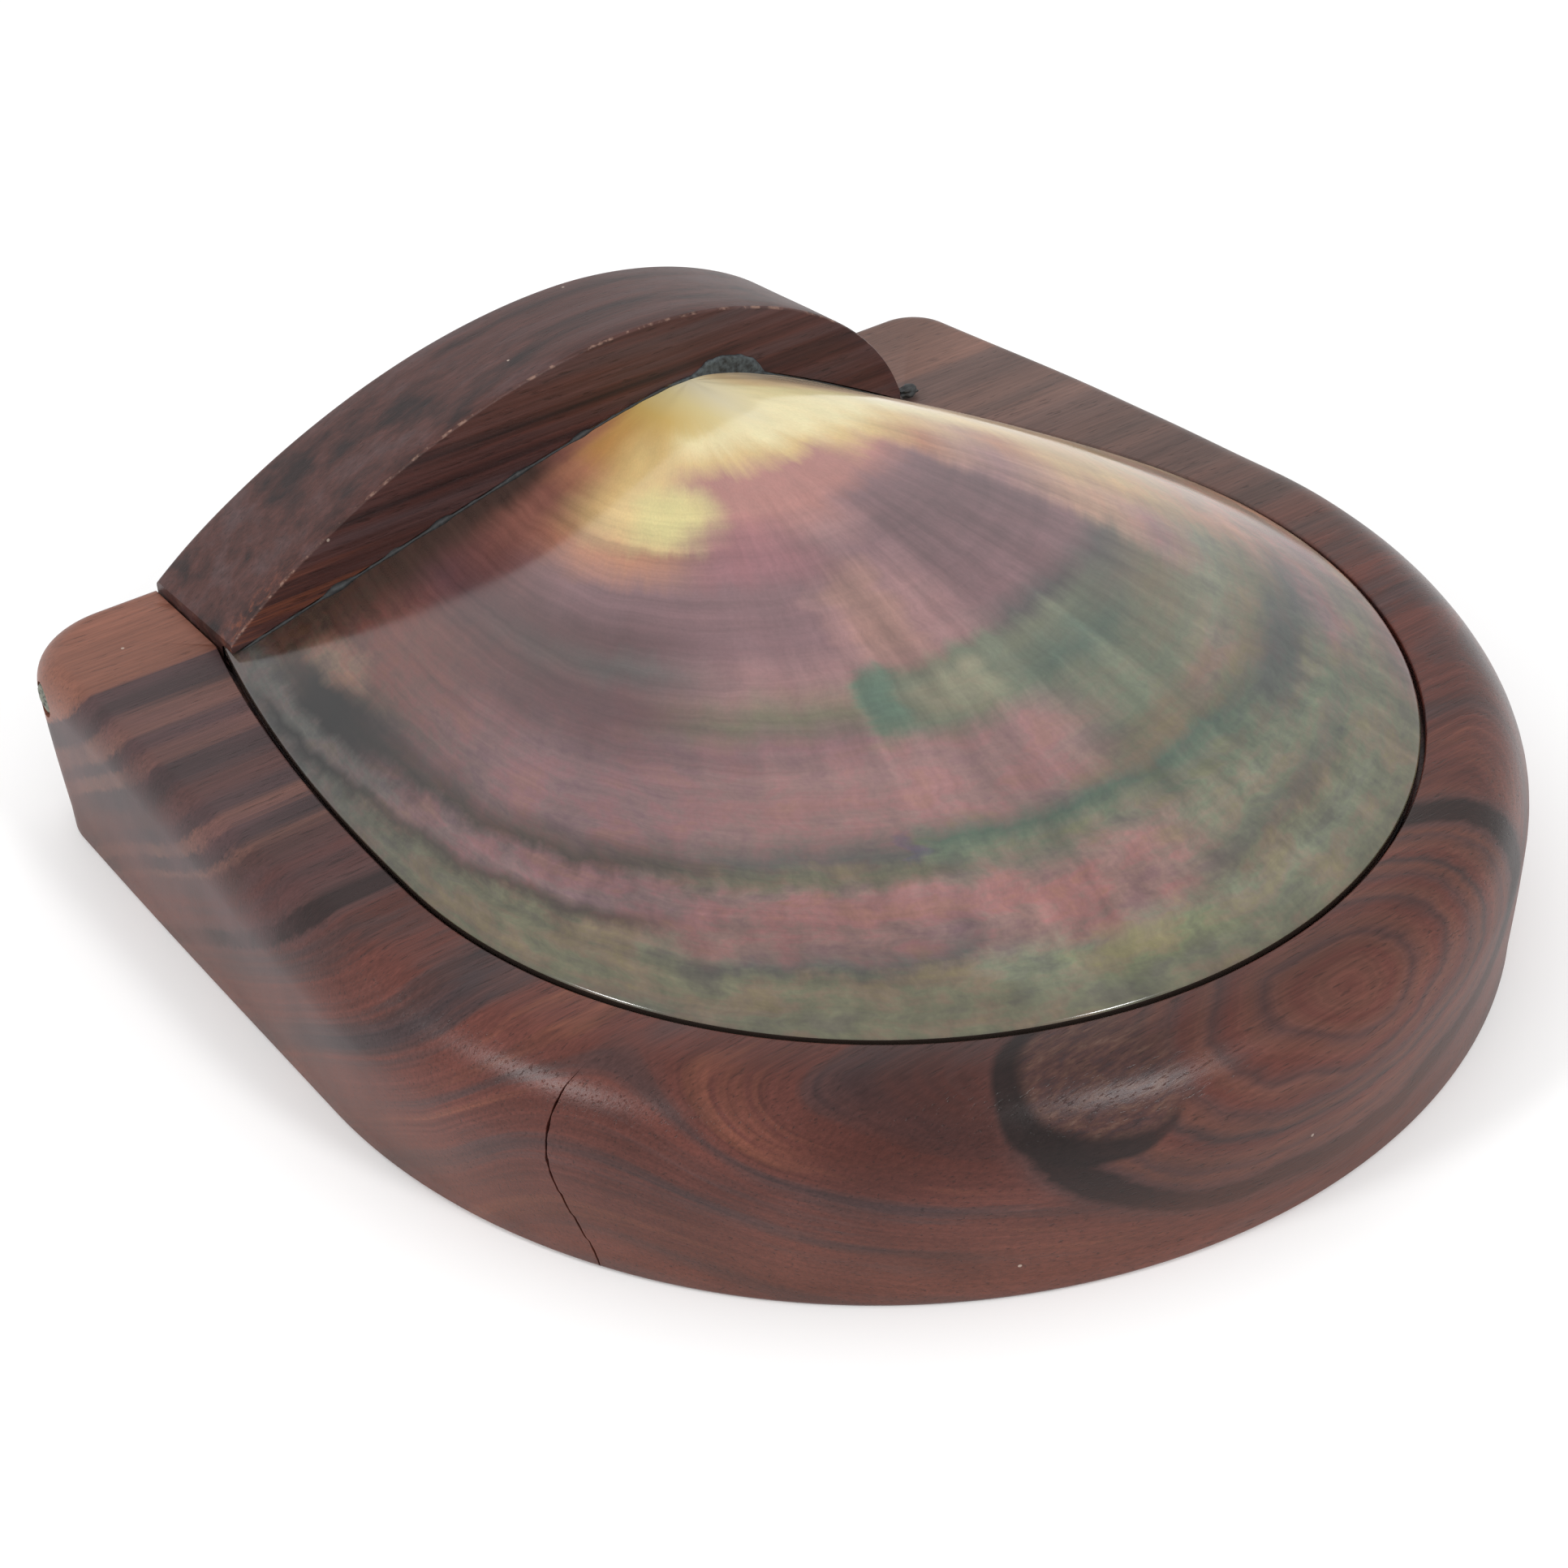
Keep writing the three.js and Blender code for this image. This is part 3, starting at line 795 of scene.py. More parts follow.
class SHELLBOX_OT_pins(bpy.types.Operator):
    """Make the two short metal pins that the lid turns on"""
    bl_idname = "shellbox.pins"
    bl_label = "Hinge pins"

    def execute(self, context):
        small = context.scene.shellbox_small
        material = pin_metal(small)
        for side, outward in (("left", -1), ("right", 1)):
            node = "hinge_pin_" + side
            mesh = mesh_of(pin_skin(node, small.pin, outward))
            finish_piece("pin_" + side, mesh, "box", "pin_metal", material, node)
        return {"FINISHED"}


# ---- nodes ----------------------------------------------------------------------------------------

def add(tree, kind, links=None, **settings):
    """Adds a node: its settings by name, then its inputs, each a value, a node or one of its sockets."""
    made = tree.nodes.new(kind)
    for key, value in settings.items():
        setattr(made, key, value)
    for key, value in (links or {}).items():
        if isinstance(value, bpy.types.Node):
            value = next(socket for socket in value.outputs if socket.enabled)
        if isinstance(value, bpy.types.NodeSocket):
            tree.links.new(value, made.inputs[key])
        else:
            made.inputs[key].default_value = value
    return made


def new_material(name):
    """An empty node material and its tree."""
    material = bpy.data.materials.new(name)
    material.use_nodes = True
    material.node_tree.nodes.clear()
    return material, material.node_tree


def colours(settings):
    """The colours among some settings, by name."""
    return {key: tuple(getattr(settings, key)) for key, kind in settings.bl_rna.properties.items()
            if kind.subtype == "COLOR"}


def maths(tree, operation, *values):
    """A calculation with numbers."""
    return add(tree, "ShaderNodeMath", dict(enumerate(values)), operation=operation)


def vectors(tree, operation, *values):
    """A calculation with vectors."""
    return add(tree, "ShaderNodeVectorMath", dict(enumerate(values)), operation=operation)


def scaled(tree, shade, factor):
    """A colour or a place times a number."""
    return add(tree, "ShaderNodeVectorMath", {0: shade, "Scale": factor}, operation="SCALE")


def split(tree, vector):
    """The X, Y and Z of a vector."""
    return add(tree, "ShaderNodeSeparateXYZ", {0: vector}).outputs


def joined(tree, x, y=0.0, z=0.0):
    """A vector of three numbers."""
    return add(tree, "ShaderNodeCombineXYZ", {"X": x, "Y": y, "Z": z})


def mixed(tree, share, first, second):
    """One number running into another."""
    return add(tree, "ShaderNodeMix", {0: share, 2: first, 3: second})


def blend(tree, share, first, second, **settings):
    """One colour running into another."""
    return add(tree, "ShaderNodeMix", {0: share, 6: first, 7: second}, data_type="RGBA", **settings)


def remap(tree, value, low, high, to_low=0.0, to_high=1.0, soft=True):
    """A value moved from one range to another, with soft or with straight ends."""
    kind = "SMOOTHSTEP" if soft else "LINEAR"
    return add(tree, "ShaderNodeMapRange", {"Value": value, "From Min": low, "From Max": high,
                                            "To Min": to_low, "To Max": to_high}, interpolation_type=kind)


def spread(tree, value, to_low, to_high, low=0.3):
    """A noise, most of which lies within low and 1 - low, spread evenly between two numbers."""
    return remap(tree, value, low, 1 - low, to_low, to_high, soft=False)


def ramp(tree, value, text, tones=None, shift=0.0, span=1.0):
    """A colour ramp whose text lists places and colours: hex codes, or names among the tones.

    The places are moved by the shift and divided by the span, which brings them within 0 and 1.
    """
    made = add(tree, "ShaderNodeValToRGB", {0: value})
    elements = made.color_ramp.elements
    while len(elements) > 1:
        elements.remove(elements[-1])
    for i, stop in enumerate(text.split(",")):
        place, shade = stop.split()
        place = (float(place) + shift) / span
        element = elements[0] if i == 0 else elements.new(place)
        element.position = place
        element.color = linear(shade) if shade.startswith("#") else tones[shade]
    return made


def noise_at(tree, place, scale, detail=3.0, roughness=0.55):
    """Soft noise in a place stretched by three factors."""
    stretched = add(tree, "ShaderNodeMapping", {"Vector": place, "Scale": scale})
    return add(tree, "ShaderNodeTexNoise", {"Vector": stretched, "Scale": 1.0, "Detail": detail,
                                            "Roughness": roughness})


def about(tree, place, centre, radii, **settings):
    """A place seen from a centre, in units of three radii."""
    return add(tree, "ShaderNodeMapping", {"Vector": place, "Location": centre, "Scale": radii},
               vector_type="TEXTURE", **settings)


def length(tree, vector):
    """The length of a vector."""
    return vectors(tree, "LENGTH", vector).outputs["Value"]


def in_mm(tree):
    """Object coordinates in millimetres."""
    return scaled(tree, add(tree, "ShaderNodeTexCoord").outputs["Object"], 1000.0)


def warped(tree, place, amount, stretch):
    """A place pushed about by slow noise, so that grain wanders as it grows."""
    drift = noise_at(tree, place, stretch, 2.0, 0.45).outputs["Color"]
    push = vectors(tree, "MULTIPLY", vectors(tree, "SUBTRACT", drift, (0.5, 0.5, 0.5)), amount)
    return vectors(tree, "ADD", place, push)


def bumped(tree, height, strength, distance):
    """A normal that follows a height."""
    return add(tree, "ShaderNodeBump", {"Height": height, "Strength": strength, "Distance": distance})


def surface(tree, inputs):
    """The shader of a material and its output."""
    shader = add(tree, "ShaderNodeBsdfPrincipled", inputs)
    add(tree, "ShaderNodeOutputMaterial", {"Surface": shader})


# ---- wood -----------------------------------------------------------------------------------------

# Millimetres back from the middle of the box, and the tone of the stripe there.
STRIPES = """
    -0.4 ground, 0.8 brown, 2 deep, 5.2 deep, 6.6 brown, 9 ground, 11.2 brown, 13 ground, 15.5 brown,
    19 brown, 20.6 tan, 22 streak, 24.8 streak, 26 tan, 28.2 tan, 29.4 streak, 31.6 streak, 33.2 brown,
    36 brown, 39 streak, 43 streak, 44.4 tan, 47.4 tan, 48.4 streak, 50.6 streak, 52.2 tan, 56.2 tan,
    58 streak, 64.4 streak, 65.4 pale"""
# How far out from the heart of the loops, and the tone there.
LOOPS = """
    0 ground, 0.1 russet, 0.16 ground, 0.2 russet, 0.25 brown, 0.3 russet, 0.36 ground, 0.41 brown,
    0.45 russet, 0.5 ground, 0.54 brown, 0.6 russet, 0.64 dusk, 0.68 ground, 0.74 russet, 0.79 brown,
    0.82 russet, 0.86 brown, 0.9 deep, 0.99 deep, 1.03 brown, 1.12 ground"""
ROUGHNESS = 0.42                    # of the oiled wood, where hands haven't polished it


def dusted(tree, place, shade):
    """A colour with a few pale specks of dust lodged in it."""
    cells = add(tree, "ShaderNodeTexVoronoi", {"Vector": place, "Scale": 0.11})
    small = remap(tree, cells.outputs["Distance"], 0.032, 0.02)
    few = add(tree, "ShaderNodeSeparateColor", {0: cells.outputs["Color"]}).outputs[0]
    share = maths(tree, "MULTIPLY", small, remap(tree, few, 0.6, 0.62, 0.0, 0.75))
    return blend(tree, share, shade, linear("#b8a79a"))


def wood_surface(tree, place, shade, polish=0.0):
    """The oiled surface over a figured wood: fibres darken it, pores dent it, hands polish it."""
    fine = noise_at(tree, place, (0.09, 2.4, 2.4), 5.0, 0.7)
    pores = remap(tree, noise_at(tree, place, (0.3, 3.0, 3.0), 2.0, 0.55), 0.6, 0.7)
    toned = scaled(tree, dusted(tree, place, shade), spread(tree, fine, 0.73, 1.25))
    dark = blend(tree, maths(tree, "MULTIPLY", pores, 0.45), toned, linear("#160e0c"))
    dull = remap(tree, fine, 0.0, 1.0, ROUGHNESS - 0.08, ROUGHNESS + 0.08, soft=False)
    surface(tree, {
        "Base Color": dark,
        "Roughness": maths(tree, "MULTIPLY_ADD", polish, -0.15, dull),
        "Normal": bumped(tree, maths(tree, "SUBTRACT", fine, pores), 0.25, mm(0.12)),
        "IOR": 1.5,
        "Specular IOR Level": 0.24,
    })


def growth_layer(tree, y, z):
    """Place along the growth layers, which stand upright near the top and lean back lower down."""
    lean = maths(tree, "SMOOTH_MAX", maths(tree, "SUBTRACT", 27.5, z), 0.0, 5.0)
    return maths(tree, "MULTIPLY_ADD", lean, -1.6, y)


def rosewood(body):
    """Oiled rosewood: red-brown heartwood with near-black growth streaks, open pores and a low sheen."""
    material, tree = new_material("oiled_rosewood")
    tones = colours(body) | {"russet": linear("#5f3a30"), "dusk": linear("#422f2d")}
    place = in_mm(tree)
    bent = warped(tree, place, (0.0, 3.2, 3.2), (0.012, 0.03, 0.03))
    x, y, z = split(tree, bent)
    layer = growth_layer(tree, y, z)
    pinstripe = noise_at(tree, place, (0.006, 0.8, 0.8), 3.0, 0.65)
    ragged_layer = maths(tree, "ADD", layer, spread(tree, pinstripe, -0.9, 0.9))
    share = remap(tree, ragged_layer, -1.0, 89.0, soft=False)
    stripes = ramp(tree, share, STRIPES, tones, shift=1, span=90)
    soften = remap(tree, noise_at(tree, bent, (0.02, 0.11, 0.11), 2.0), 0.35, 0.65, 0.1, 0.6)
    stripes = blend(tree, soften, stripes, linear("#53393a"))
    front = front_figure(tree, tones, place, bent, layer)
    wood = blend(tree, remap(tree, ragged_layer, -0.8, 0.6), front, stripes)
    wood = blend(tree, remap(tree, ragged_layer, 64.0, 66.5), wood, tones["pale"])
    # The lower wall is plainer and dries paler than the handled top; the right ear is greyer.
    wood = blend(tree, remap(tree, z, 19.0, 3.0, 0.0, 0.42), wood, tones["orange"])
    grey = maths(tree, "MULTIPLY", remap(tree, x, 0.0, 40.0, 0.0, 0.62), remap(tree, y, -30.0, 20.0))
    wood = blend(tree, grey, wood, linear("#6e5850"))
    # Long cloudy patches keep neighbouring stripes from looking ruled.
    cloud = noise_at(tree, bent, (0.018, 0.07, 0.07), 2.0)
    wood = scaled(tree, wood, spread(tree, cloud, 0.72, 1.14))
    polish = maths(tree, "MULTIPLY", remap(tree, z, 19.0, 25.0), remap(tree, y, 0.0, -25.0))
    wood_surface(tree, place, wood, polish)
    return material


def front_figure(tree, tones, place, bent, layer):
    """The wood of the round front: soft streaks, with nested loops and a knot over them."""
    x = split(tree, bent)["X"]
    wobble = warped(tree, bent, (6.0, 5.0, 6.0), (0.05, 0.05, 0.05))
    figure = streaky_wood(tree, tones, bent, layer)
    figure = with_loops(tree, tones, place, wobble, figure)
    return with_knot(tree, tones, wobble, x, figure)


def streaky_wood(tree, tones, bent, layer):
    """Plain red-brown wood with soft streaks along the front, and one deeper red stain."""
    x, y, z = split(tree, bent)
    falling = maths(tree, "MULTIPLY_ADD", y, -0.33, z)
    rising = maths(tree, "MULTIPLY_ADD", layer, 0.5, 60.0)
    along = joined(tree, x, 0.0, mixed(tree, remap(tree, y, -22.0, -62.0), rising, falling))
    soft = noise_at(tree, along, (0.016, 1.0, 0.17), 5.0, 0.62)
    ground = ramp(tree, soft, "0.37 streak, 0.45 brown, 0.51 ground, 0.57 ground, 0.66 orange", tones)
    threads = noise_at(tree, along, (0.035, 1.0, 1.3), 4.0, 0.65)
    ground = scaled(tree, ground, spread(tree, threads, 0.74, 1.26))
    stain = length(tree, about(tree, bent, (-46.0, -69.0, 24.0), (17.0, 17.0, 8.0)))
    return blend(tree, remap(tree, stain, 1.3, 0.4, 0.0, 0.7), ground, linear("#3f1d17"))


def with_loops(tree, tones, place, wobble, ground):
    """Wood with nested loops of growth, which the curved front lays open."""
    out = length(tree, about(tree, wobble, (6.0, -82.0, 28.0), (46.0, 24.0, 22.0)))
    grain = noise_at(tree, place, (0.12, 0.9, 0.9), 3.0)
    out = maths(tree, "ADD", out, spread(tree, grain, -0.012, 0.012))
    rings = ramp(tree, maths(tree, "MULTIPLY", out, 0.8), LOOPS, tones, span=1.25)
    hairs = noise_at(tree, joined(tree, out), (26.0, 1.0, 1.0), 3.0, 0.7)
    rings = scaled(tree, rings, spread(tree, hairs, 0.84, 1.14, low=0.35))
    return blend(tree, remap(tree, out, 1.0, 1.12, 0.95, 0.0), ground, rings)


def with_knot(tree, tones, wobble, x, figure):
    """Wood with a speckled knot. The dark band of the loops runs on round its left and its underside."""
    halo = length(tree, about(tree, wobble, (-28.5, -77.0, 27.3), (12.3, 10.2, 7.9)))
    crescent = maths(tree, "MULTIPLY", remap(tree, halo, 1.06, 0.96, 0.0, 0.95),
                     remap(tree, x, -17.0, -25.0))
    figure = blend(tree, crescent, figure, tones["deep"])
    heart = ramp(tree, noise_at(tree, wobble, (0.22, 0.9, 0.9), 5.0, 0.72),
                 "0.32 streak, 0.46 brown, 0.58 #5b3f36, 0.74 #6f564c", tones)
    out = length(tree, about(tree, wobble, (-25.0, -76.5, 28.7), (11.8, 9.0, 7.2)))
    inside = maths(tree, "MULTIPLY", remap(tree, out, 1.08, 0.85), remap(tree, x, -13.0, -24.0))
    return blend(tree, inside, figure, heart)


def block_wood(block):
    """The same rosewood, cut where it is nearly black, with a dull sheen and one rubbed arris."""
    material, tree = new_material("dark_rosewood")
    place = in_mm(tree)
    bent = warped(tree, place, (0.0, 3.0, 3.0), (0.012, 0.03, 0.03))
    soft = noise_at(tree, bent, (0.008, 0.16, 0.26), 3.0, 0.55)
    shade = ramp(tree, soft, "0.34 streak, 0.5 ground, 0.7 light", colours(block))
    threads = noise_at(tree, bent, (0.02, 0.9, 1.1), 4.0, 0.65)
    shade = scaled(tree, shade, spread(tree, threads, 0.75, 1.28))
    # Redder streaks show low on the left of the front face.
    x, y, z = split(tree, bent)
    red = remap(tree, threads, 0.48, 0.62, 0.0, 0.8)
    for mask in (remap(tree, z, 43.0, 33.0), remap(tree, x, 5.0, -30.0), remap(tree, y, 66.0, 62.0)):
        red = maths(tree, "MULTIPLY", red, mask)
    shade = blend(tree, red, shade, linear("#70402e"))
    wear = add(tree, "ShaderNodeAttribute", attribute_name="wear").outputs["Fac"]
    chips = remap(tree, noise_at(tree, place, (0.5, 0.5, 0.5), 4.0, 0.7), 0.5, 0.64, 0.05, 0.7)
    shade = blend(tree, maths(tree, "MULTIPLY", wear, chips), shade, linear("#927466"))
    wood_surface(tree, place, shade)
    return material


# ---- nacre ----------------------------------------------------------------------------------------

NACRE = {name: linear(code) for name, code in {
    "amber": "#bd8c55", "gold": "#cfa662", "honey": "#cdb079", "cream": "#dfd2a3", "tan": "#a9755a",
    "brown": "#7d5248", "russet": "#67433f", "plum": "#563b3e", "mauve": "#75575b", "rose": "#a27069",
    "pink": "#886666", "violet": "#654b4f", "green": "#646858", "teal": "#4d5b50", "slate": "#4f4a49",
    "ink": "#0e0a0a", "olive": "#67604f", "moss": "#747363", "beige": "#a5826e", "sand": "#b99a70",
    "umber": "#46352f", "blush": "#9a766a", "milk": "#dcc6ab",
}.items()}
RAYS = (
    # direction from the umbo in degrees, half the width of the change from the ray before it, then
    # ages in hundredths and the colours there
    (-88, 0, "0 amber, 8 amber, 18 tan, 24 brown, 30 umber, 82 umber, 86 slate, 100 umber"),
    (-74, 6, "0 amber, 8 gold, 19 amber, 24 tan, 31 brown, 38 brown, 46 russet, 54 plum, 62 russet,"
             "74 russet, 77 umber, 79.5 ink, 84 ink, 86 slate, 87.5 slate, 89 ink, 92 slate, 100 umber"),
    (-42, 14, "0 amber, 10 honey, 24 honey, 32 honey, 38 tan, 44 mauve, 52 plum, 56 slate, 60 plum,"
              "64 plum, 71 mauve, 78 mauve, 82 umber, 84 mauve, 87 mauve, 88.5 umber, 90.5 olive,"
              "96 olive, 100 slate"),
    (-24, 7, "0 honey, 14 cream, 19 honey, 23 rose, 32 rose, 39 mauve, 53 mauve, 58 pink, 63 olive,"
             "67 mauve, 71 pink, 77 pink, 81 slate, 83 olive, 85 pink, 90 mauve, 92.5 slate, 94 olive,"
             "100 olive"),
    (-12, 0.9, "0 honey, 14 cream, 19 honey, 24 rose, 31 rose, 37 pink, 41 mauve, 48 pink, 57 pink,"
               "59 green, 66 green, 69 pink, 77 pink, 80 teal, 82 green, 86 pink, 91 pink, 94 moss,"
               "100 olive"),
    (6, 4.5, "0 cream, 17 cream, 21 honey, 24 rose, 29 rose, 33 mauve, 40 violet, 54 mauve, 57.5 slate,"
             "60 green, 65 teal, 68 green, 74 green, 76 olive, 78.5 olive, 80 teal, 84 green, 87 moss,"
             "92 olive, 95 moss, 100 olive"),
    (17, 6, "0 cream, 20 cream, 25 honey, 30 rose, 35 mauve, 40 violet, 52 violet, 56 mauve, 60 slate,"
            "67 olive, 75 moss, 79 olive, 82.5 slate, 88 green, 100 olive"),
    (28, 3, "0 cream, 24 cream, 29 honey, 36 tan, 41 blush, 47 pink, 56 beige, 62 beige, 68 pink,"
            "75 moss, 81 olive, 86 slate, 90 mauve, 95 olive, 100 mauve"),
    (36, 4, "0 cream, 28 cream, 34 honey, 44 beige, 50 tan, 58 sand, 68 sand, 78 beige, 86 blush,"
            "95 mauve, 100 beige"),
    (45, 4, "0 cream, 36 cream, 50 honey, 66 sand, 76 sand, 82 beige, 88 beige, 100 beige"),
    # The milk of the right flank is pale nacre with a painted reflection of the bright room, seen at a
    # grazing angle.
    (57, 5, "0 honey, 40 milk, 100 milk"),
)
PATCHES = (
    # name, colour, direction and its half width in degrees, age and its half width, strength
    ("sunspot", "#cbbf83", -34, 8, 0.3, 0.05, 0.95),
    ("magenta", "#8c5a60", -22, 8, 0.37, 0.05, 0.75),
    ("beige ray", "#967062", -12, 3, 0.5, 0.07, 0.6),
    ("teal spark", "#4e6456", -16, 1.5, 0.62, 0.04, 0.9),
    ("pale patch", "#827d68", -9, 3.2, 0.63, 0.025, 0.8),
    ("rose panel", "#906562", -11, 5, 0.885, 0.03, 0.6),
    ("rose panel left", "#845d5b", -27, 6, 0.885, 0.03, 0.6),
    ("violet dot", "#4b4762", -18.5, 0.5, 0.8, 0.015, 0.5),
    ("rose right", "#846064", 12, 5, 0.765, 0.015, 0.3),
    ("warm corner", "#85675a", -78, 5, 0.76, 0.03, 0.65),
    ("slate right", "#3f4342", 19, 6, 0.835, 0.02, 0.75),
    ("slate margin", "#4a4a48", 8, 9, 0.905, 0.012, 0.5),
    ("lime margin", "#75744f", -9, 4, 0.955, 0.015, 0.5),
    ("dark left bands", "#4c3433", -56, 13, 0.555, 0.05, 0.5),
)


def direction(degrees):
    """A direction from the umbo as its place across the growth map, where 180 degrees is 1."""
    return degrees / 180


def nacre_noises(tree, growth):
    """The noises that draw rays, growth lines and streaks, most of them on a map that waves a little."""
    wave = joined(tree, spread(tree, noise_at(tree, growth, (9.0, 30.0, 1.0), 2.0), -0.0025, 0.0025),
                  spread(tree, noise_at(tree, growth, (30.0, 9.0, 1.0), 2.0), -0.004, 0.004))
    waved = vectors(tree, "ADD", growth, wave)
    return {
        "rays": noise_at(tree, growth, (42.0, 1.1, 1.0), 4.0, 0.6),
        "blotches": noise_at(tree, growth, (16.0, 11.0, 1.0), 3.0, 0.55),
        "fine rays": noise_at(tree, waved, (120.0, 7.0, 1.0), 4.0, 0.65),
        "lines": noise_at(tree, waved, (2.6, 52.0, 1.0), 4.0, 0.68),
        "streaks": noise_at(tree, waved, (95.0, 24.0, 1.0), 4.0, 0.65),
        "grain": noise_at(tree, waved, (420.0, 150.0, 1.0), 2.0, 0.7),
        "mottle": noise_at(tree, waved, (40.0, 26.0, 1.0), 4.0, 0.65),
        "clouds": noise_at(tree, waved, (7.0, 4.0, 1.0), 4.0, 0.6),
    }


def wandering(tree, growth, noises):
    """The growth map pushed about, so that bands and rays meet in ragged edges."""
    aside = spread(tree, noise_at(tree, growth, (5.0, 20.0, 1.0), 4.0), -0.009, 0.009)
    push = joined(tree, aside, spread(tree, noises["streaks"], -0.004, 0.004))
    ripple = joined(tree, 0.0, spread(tree, noises["rays"], -0.01, 0.01))
    return vectors(tree, "ADD", vectors(tree, "ADD", growth, push), ripple)


def ray_colours(tree, ray, age):
    """The colours along every ray, each ray running over into the next."""
    shade = before = None
    for at, half, text in RAYS:
        along = ramp(tree, age, text, NACRE, span=100)
        if shade is None:
            shade = along
        else:
            middle = (before + at) / 2
            share = remap(tree, ray, direction(middle - half), direction(middle + half))
            shade = blend(tree, share, shade, along)
        before = at
    return shade


def with_patches(tree, shade, ray, age):
    """Nacre with its single patches of colour."""
    aged = joined(tree, ray, age)
    for name, code, at, half, years, years_half, strength in PATCHES:
        spot = about(tree, aged, (direction(at), years, 0.0), (direction(half), years_half, 1.0), label=name)
        out = length(tree, vectors(tree, "MULTIPLY", spot, spot))
        shade = blend(tree, remap(tree, out, 2.4, 0.0, 0.0, strength), shade, linear(code))
    return shade


def textured(tree, shade, noises, ray, reach):
    """Nacre lightened and darkened by its rays, growth lines and streaks."""
    # Rays show most in the middle, growth lines to the left, and neither of them near the umbo.
    late = remap(tree, reach, 0.2, 0.4)
    from_left = remap(tree, ray, direction(-34), direction(-12), 0.08, 1.0)
    to_right = remap(tree, ray, direction(27), direction(36), 1.0, 0.35)
    streaky = maths(tree, "MULTIPLY", maths(tree, "MULTIPLY", from_left, to_right), late)
    lined = maths(tree, "MULTIPLY", remap(tree, ray, direction(-10), direction(-40), 0.4, 1.0), late)
    # Short wavy streaks crowd towards the margin.
    outer = remap(tree, reach, 0.72, 0.9)
    for share, tone in (
            (streaky, spread(tree, noises["rays"], 0.72, 1.25, low=0.32)),
            (streaky, spread(tree, noises["fine rays"], 0.86, 1.13)),
            (lined, spread(tree, noises["lines"], 0.82, 1.18, low=0.32)),
            (outer, spread(tree, noises["streaks"], 0.74, 1.22))):
        shade = scaled(tree, shade, mixed(tree, share, 1.0, tone))
    for name, low, high in (("grain", 0.94, 1.06), ("blotches", 0.92, 1.08)):
        shade = scaled(tree, shade, spread(tree, noises[name], low, high))
    # Flickers of green and pink play over the outer half.
    flicker = ramp(tree, noises["mottle"], "0.36 #cdd3d6, 0.46 #e4f2e4, 0.55 #fbe9e6, 0.64 #fff2d8")
    return blend(tree, remap(tree, reach, 0.5, 0.92, 0.1, 0.9), shade, flicker, blend_type="MULTIPLY")


def with_tip_and_sheen(tree, shade, reach):
    """Nacre with its tip: close to the umbo the rays run together and only the side decides the colour, which
    is pale nacre with a painted sheen in it.
    """
    across = remap(tree, split(tree, in_mm(tree))["X"], -4.0, 26.0, soft=False)
    # The pale creams of the tip are partly painted sheen.
    tip = ramp(tree, across, "0 #c0924f, 0.25 #cfb06a, 0.42 #dac994, 0.55 #ddd3b3, 0.8 #e6d8ae, 1 #e2d09c")
    return blend(tree, remap(tree, reach, 0.17, 0.06), shade, tip)


def with_edge_shade_and_inside(tree, shade, noises, growth, reach):
    """The whole valve: its edge is painted dull and dark, as shade on the rim side down in the gap round the
    shell, and its inner face is pale and silvery.
    """
    inner = ramp(tree, noises["clouds"], "0.35 #a3aca0, 0.5 #cbc4b6, 0.64 #c2a9a6")
    # Painted shade: past the rim, the side of the shell is coloured near black because it lies in shadow in
    # the gap.
    shade = blend(tree, remap(tree, reach, 1.0, 1.03), shade, linear("#2b2420"))
    return blend(tree, remap(tree, split(tree, growth)["Y"], 1.05, 1.09), shade, inner)


def nacre():
    """Polished nacre of a dark pearl oyster: soft interference colours in rays and growth bands."""
    material, tree = new_material("polished_nacre")
    growth = add(tree, "ShaderNodeUVMap", uv_map="growth")
    noises = nacre_noises(tree, growth)
    ray, reach, _ = split(tree, wandering(tree, growth, noises))
    # Growth lines crowd together towards the left end of the hinge.
    crowd = remap(tree, ray, direction(-25), direction(-80), 0.0, -0.1, soft=False)
    age = maths(tree, "MULTIPLY_ADD", reach, crowd, reach)
    shade = with_patches(tree, ray_colours(tree, ray, age), ray, age)
    shade = textured(tree, shade, noises, ray, reach)
    shade = with_tip_and_sheen(tree, shade, reach)
    surface(tree, {
        "Base Color": with_edge_shade_and_inside(tree, shade, noises, growth, reach),
        "Roughness": spread(tree, noises["blotches"], 0.1, 0.17),
        "Normal": bumped(tree, noises["lines"], 0.12, mm(0.05)),
        "IOR": 1.6,
    })
    return material


# ---- filler and metal -----------------------------------------------------------------------------

def hard_filler(small):
    """Grey casting filler: matt and lumpy, with darker lumps in it."""
    material, tree = new_material("grey_filler")
    place = in_mm(tree)
    lumps = noise_at(tree, place, (1.1, 1.1, 1.1), 5.0, 0.6)
    shade = ramp(tree, lumps, "0.35 #1a1c1e, 0.52 filler, 0.75 #545c5e", colours(small))
    # Only the patch over the umbo shows clean grey: to both sides of it, the bead and the crumb are coloured
    # near black.
    aside = maths(tree, "SUBTRACT", split(tree, place)["X"], PATCH_X * 1000)
    darker_aside = remap(tree, maths(tree, "ABSOLUTE", aside), 7.0, 11.0, 0.0, 0.72)
    surface(tree, {
        "Base Color": blend(tree, darker_aside, shade, linear("#1c1918")),
        "Roughness": 0.55,
        "Normal": bumped(tree, lumps, 0.4, mm(0.15)),
    })
    return material


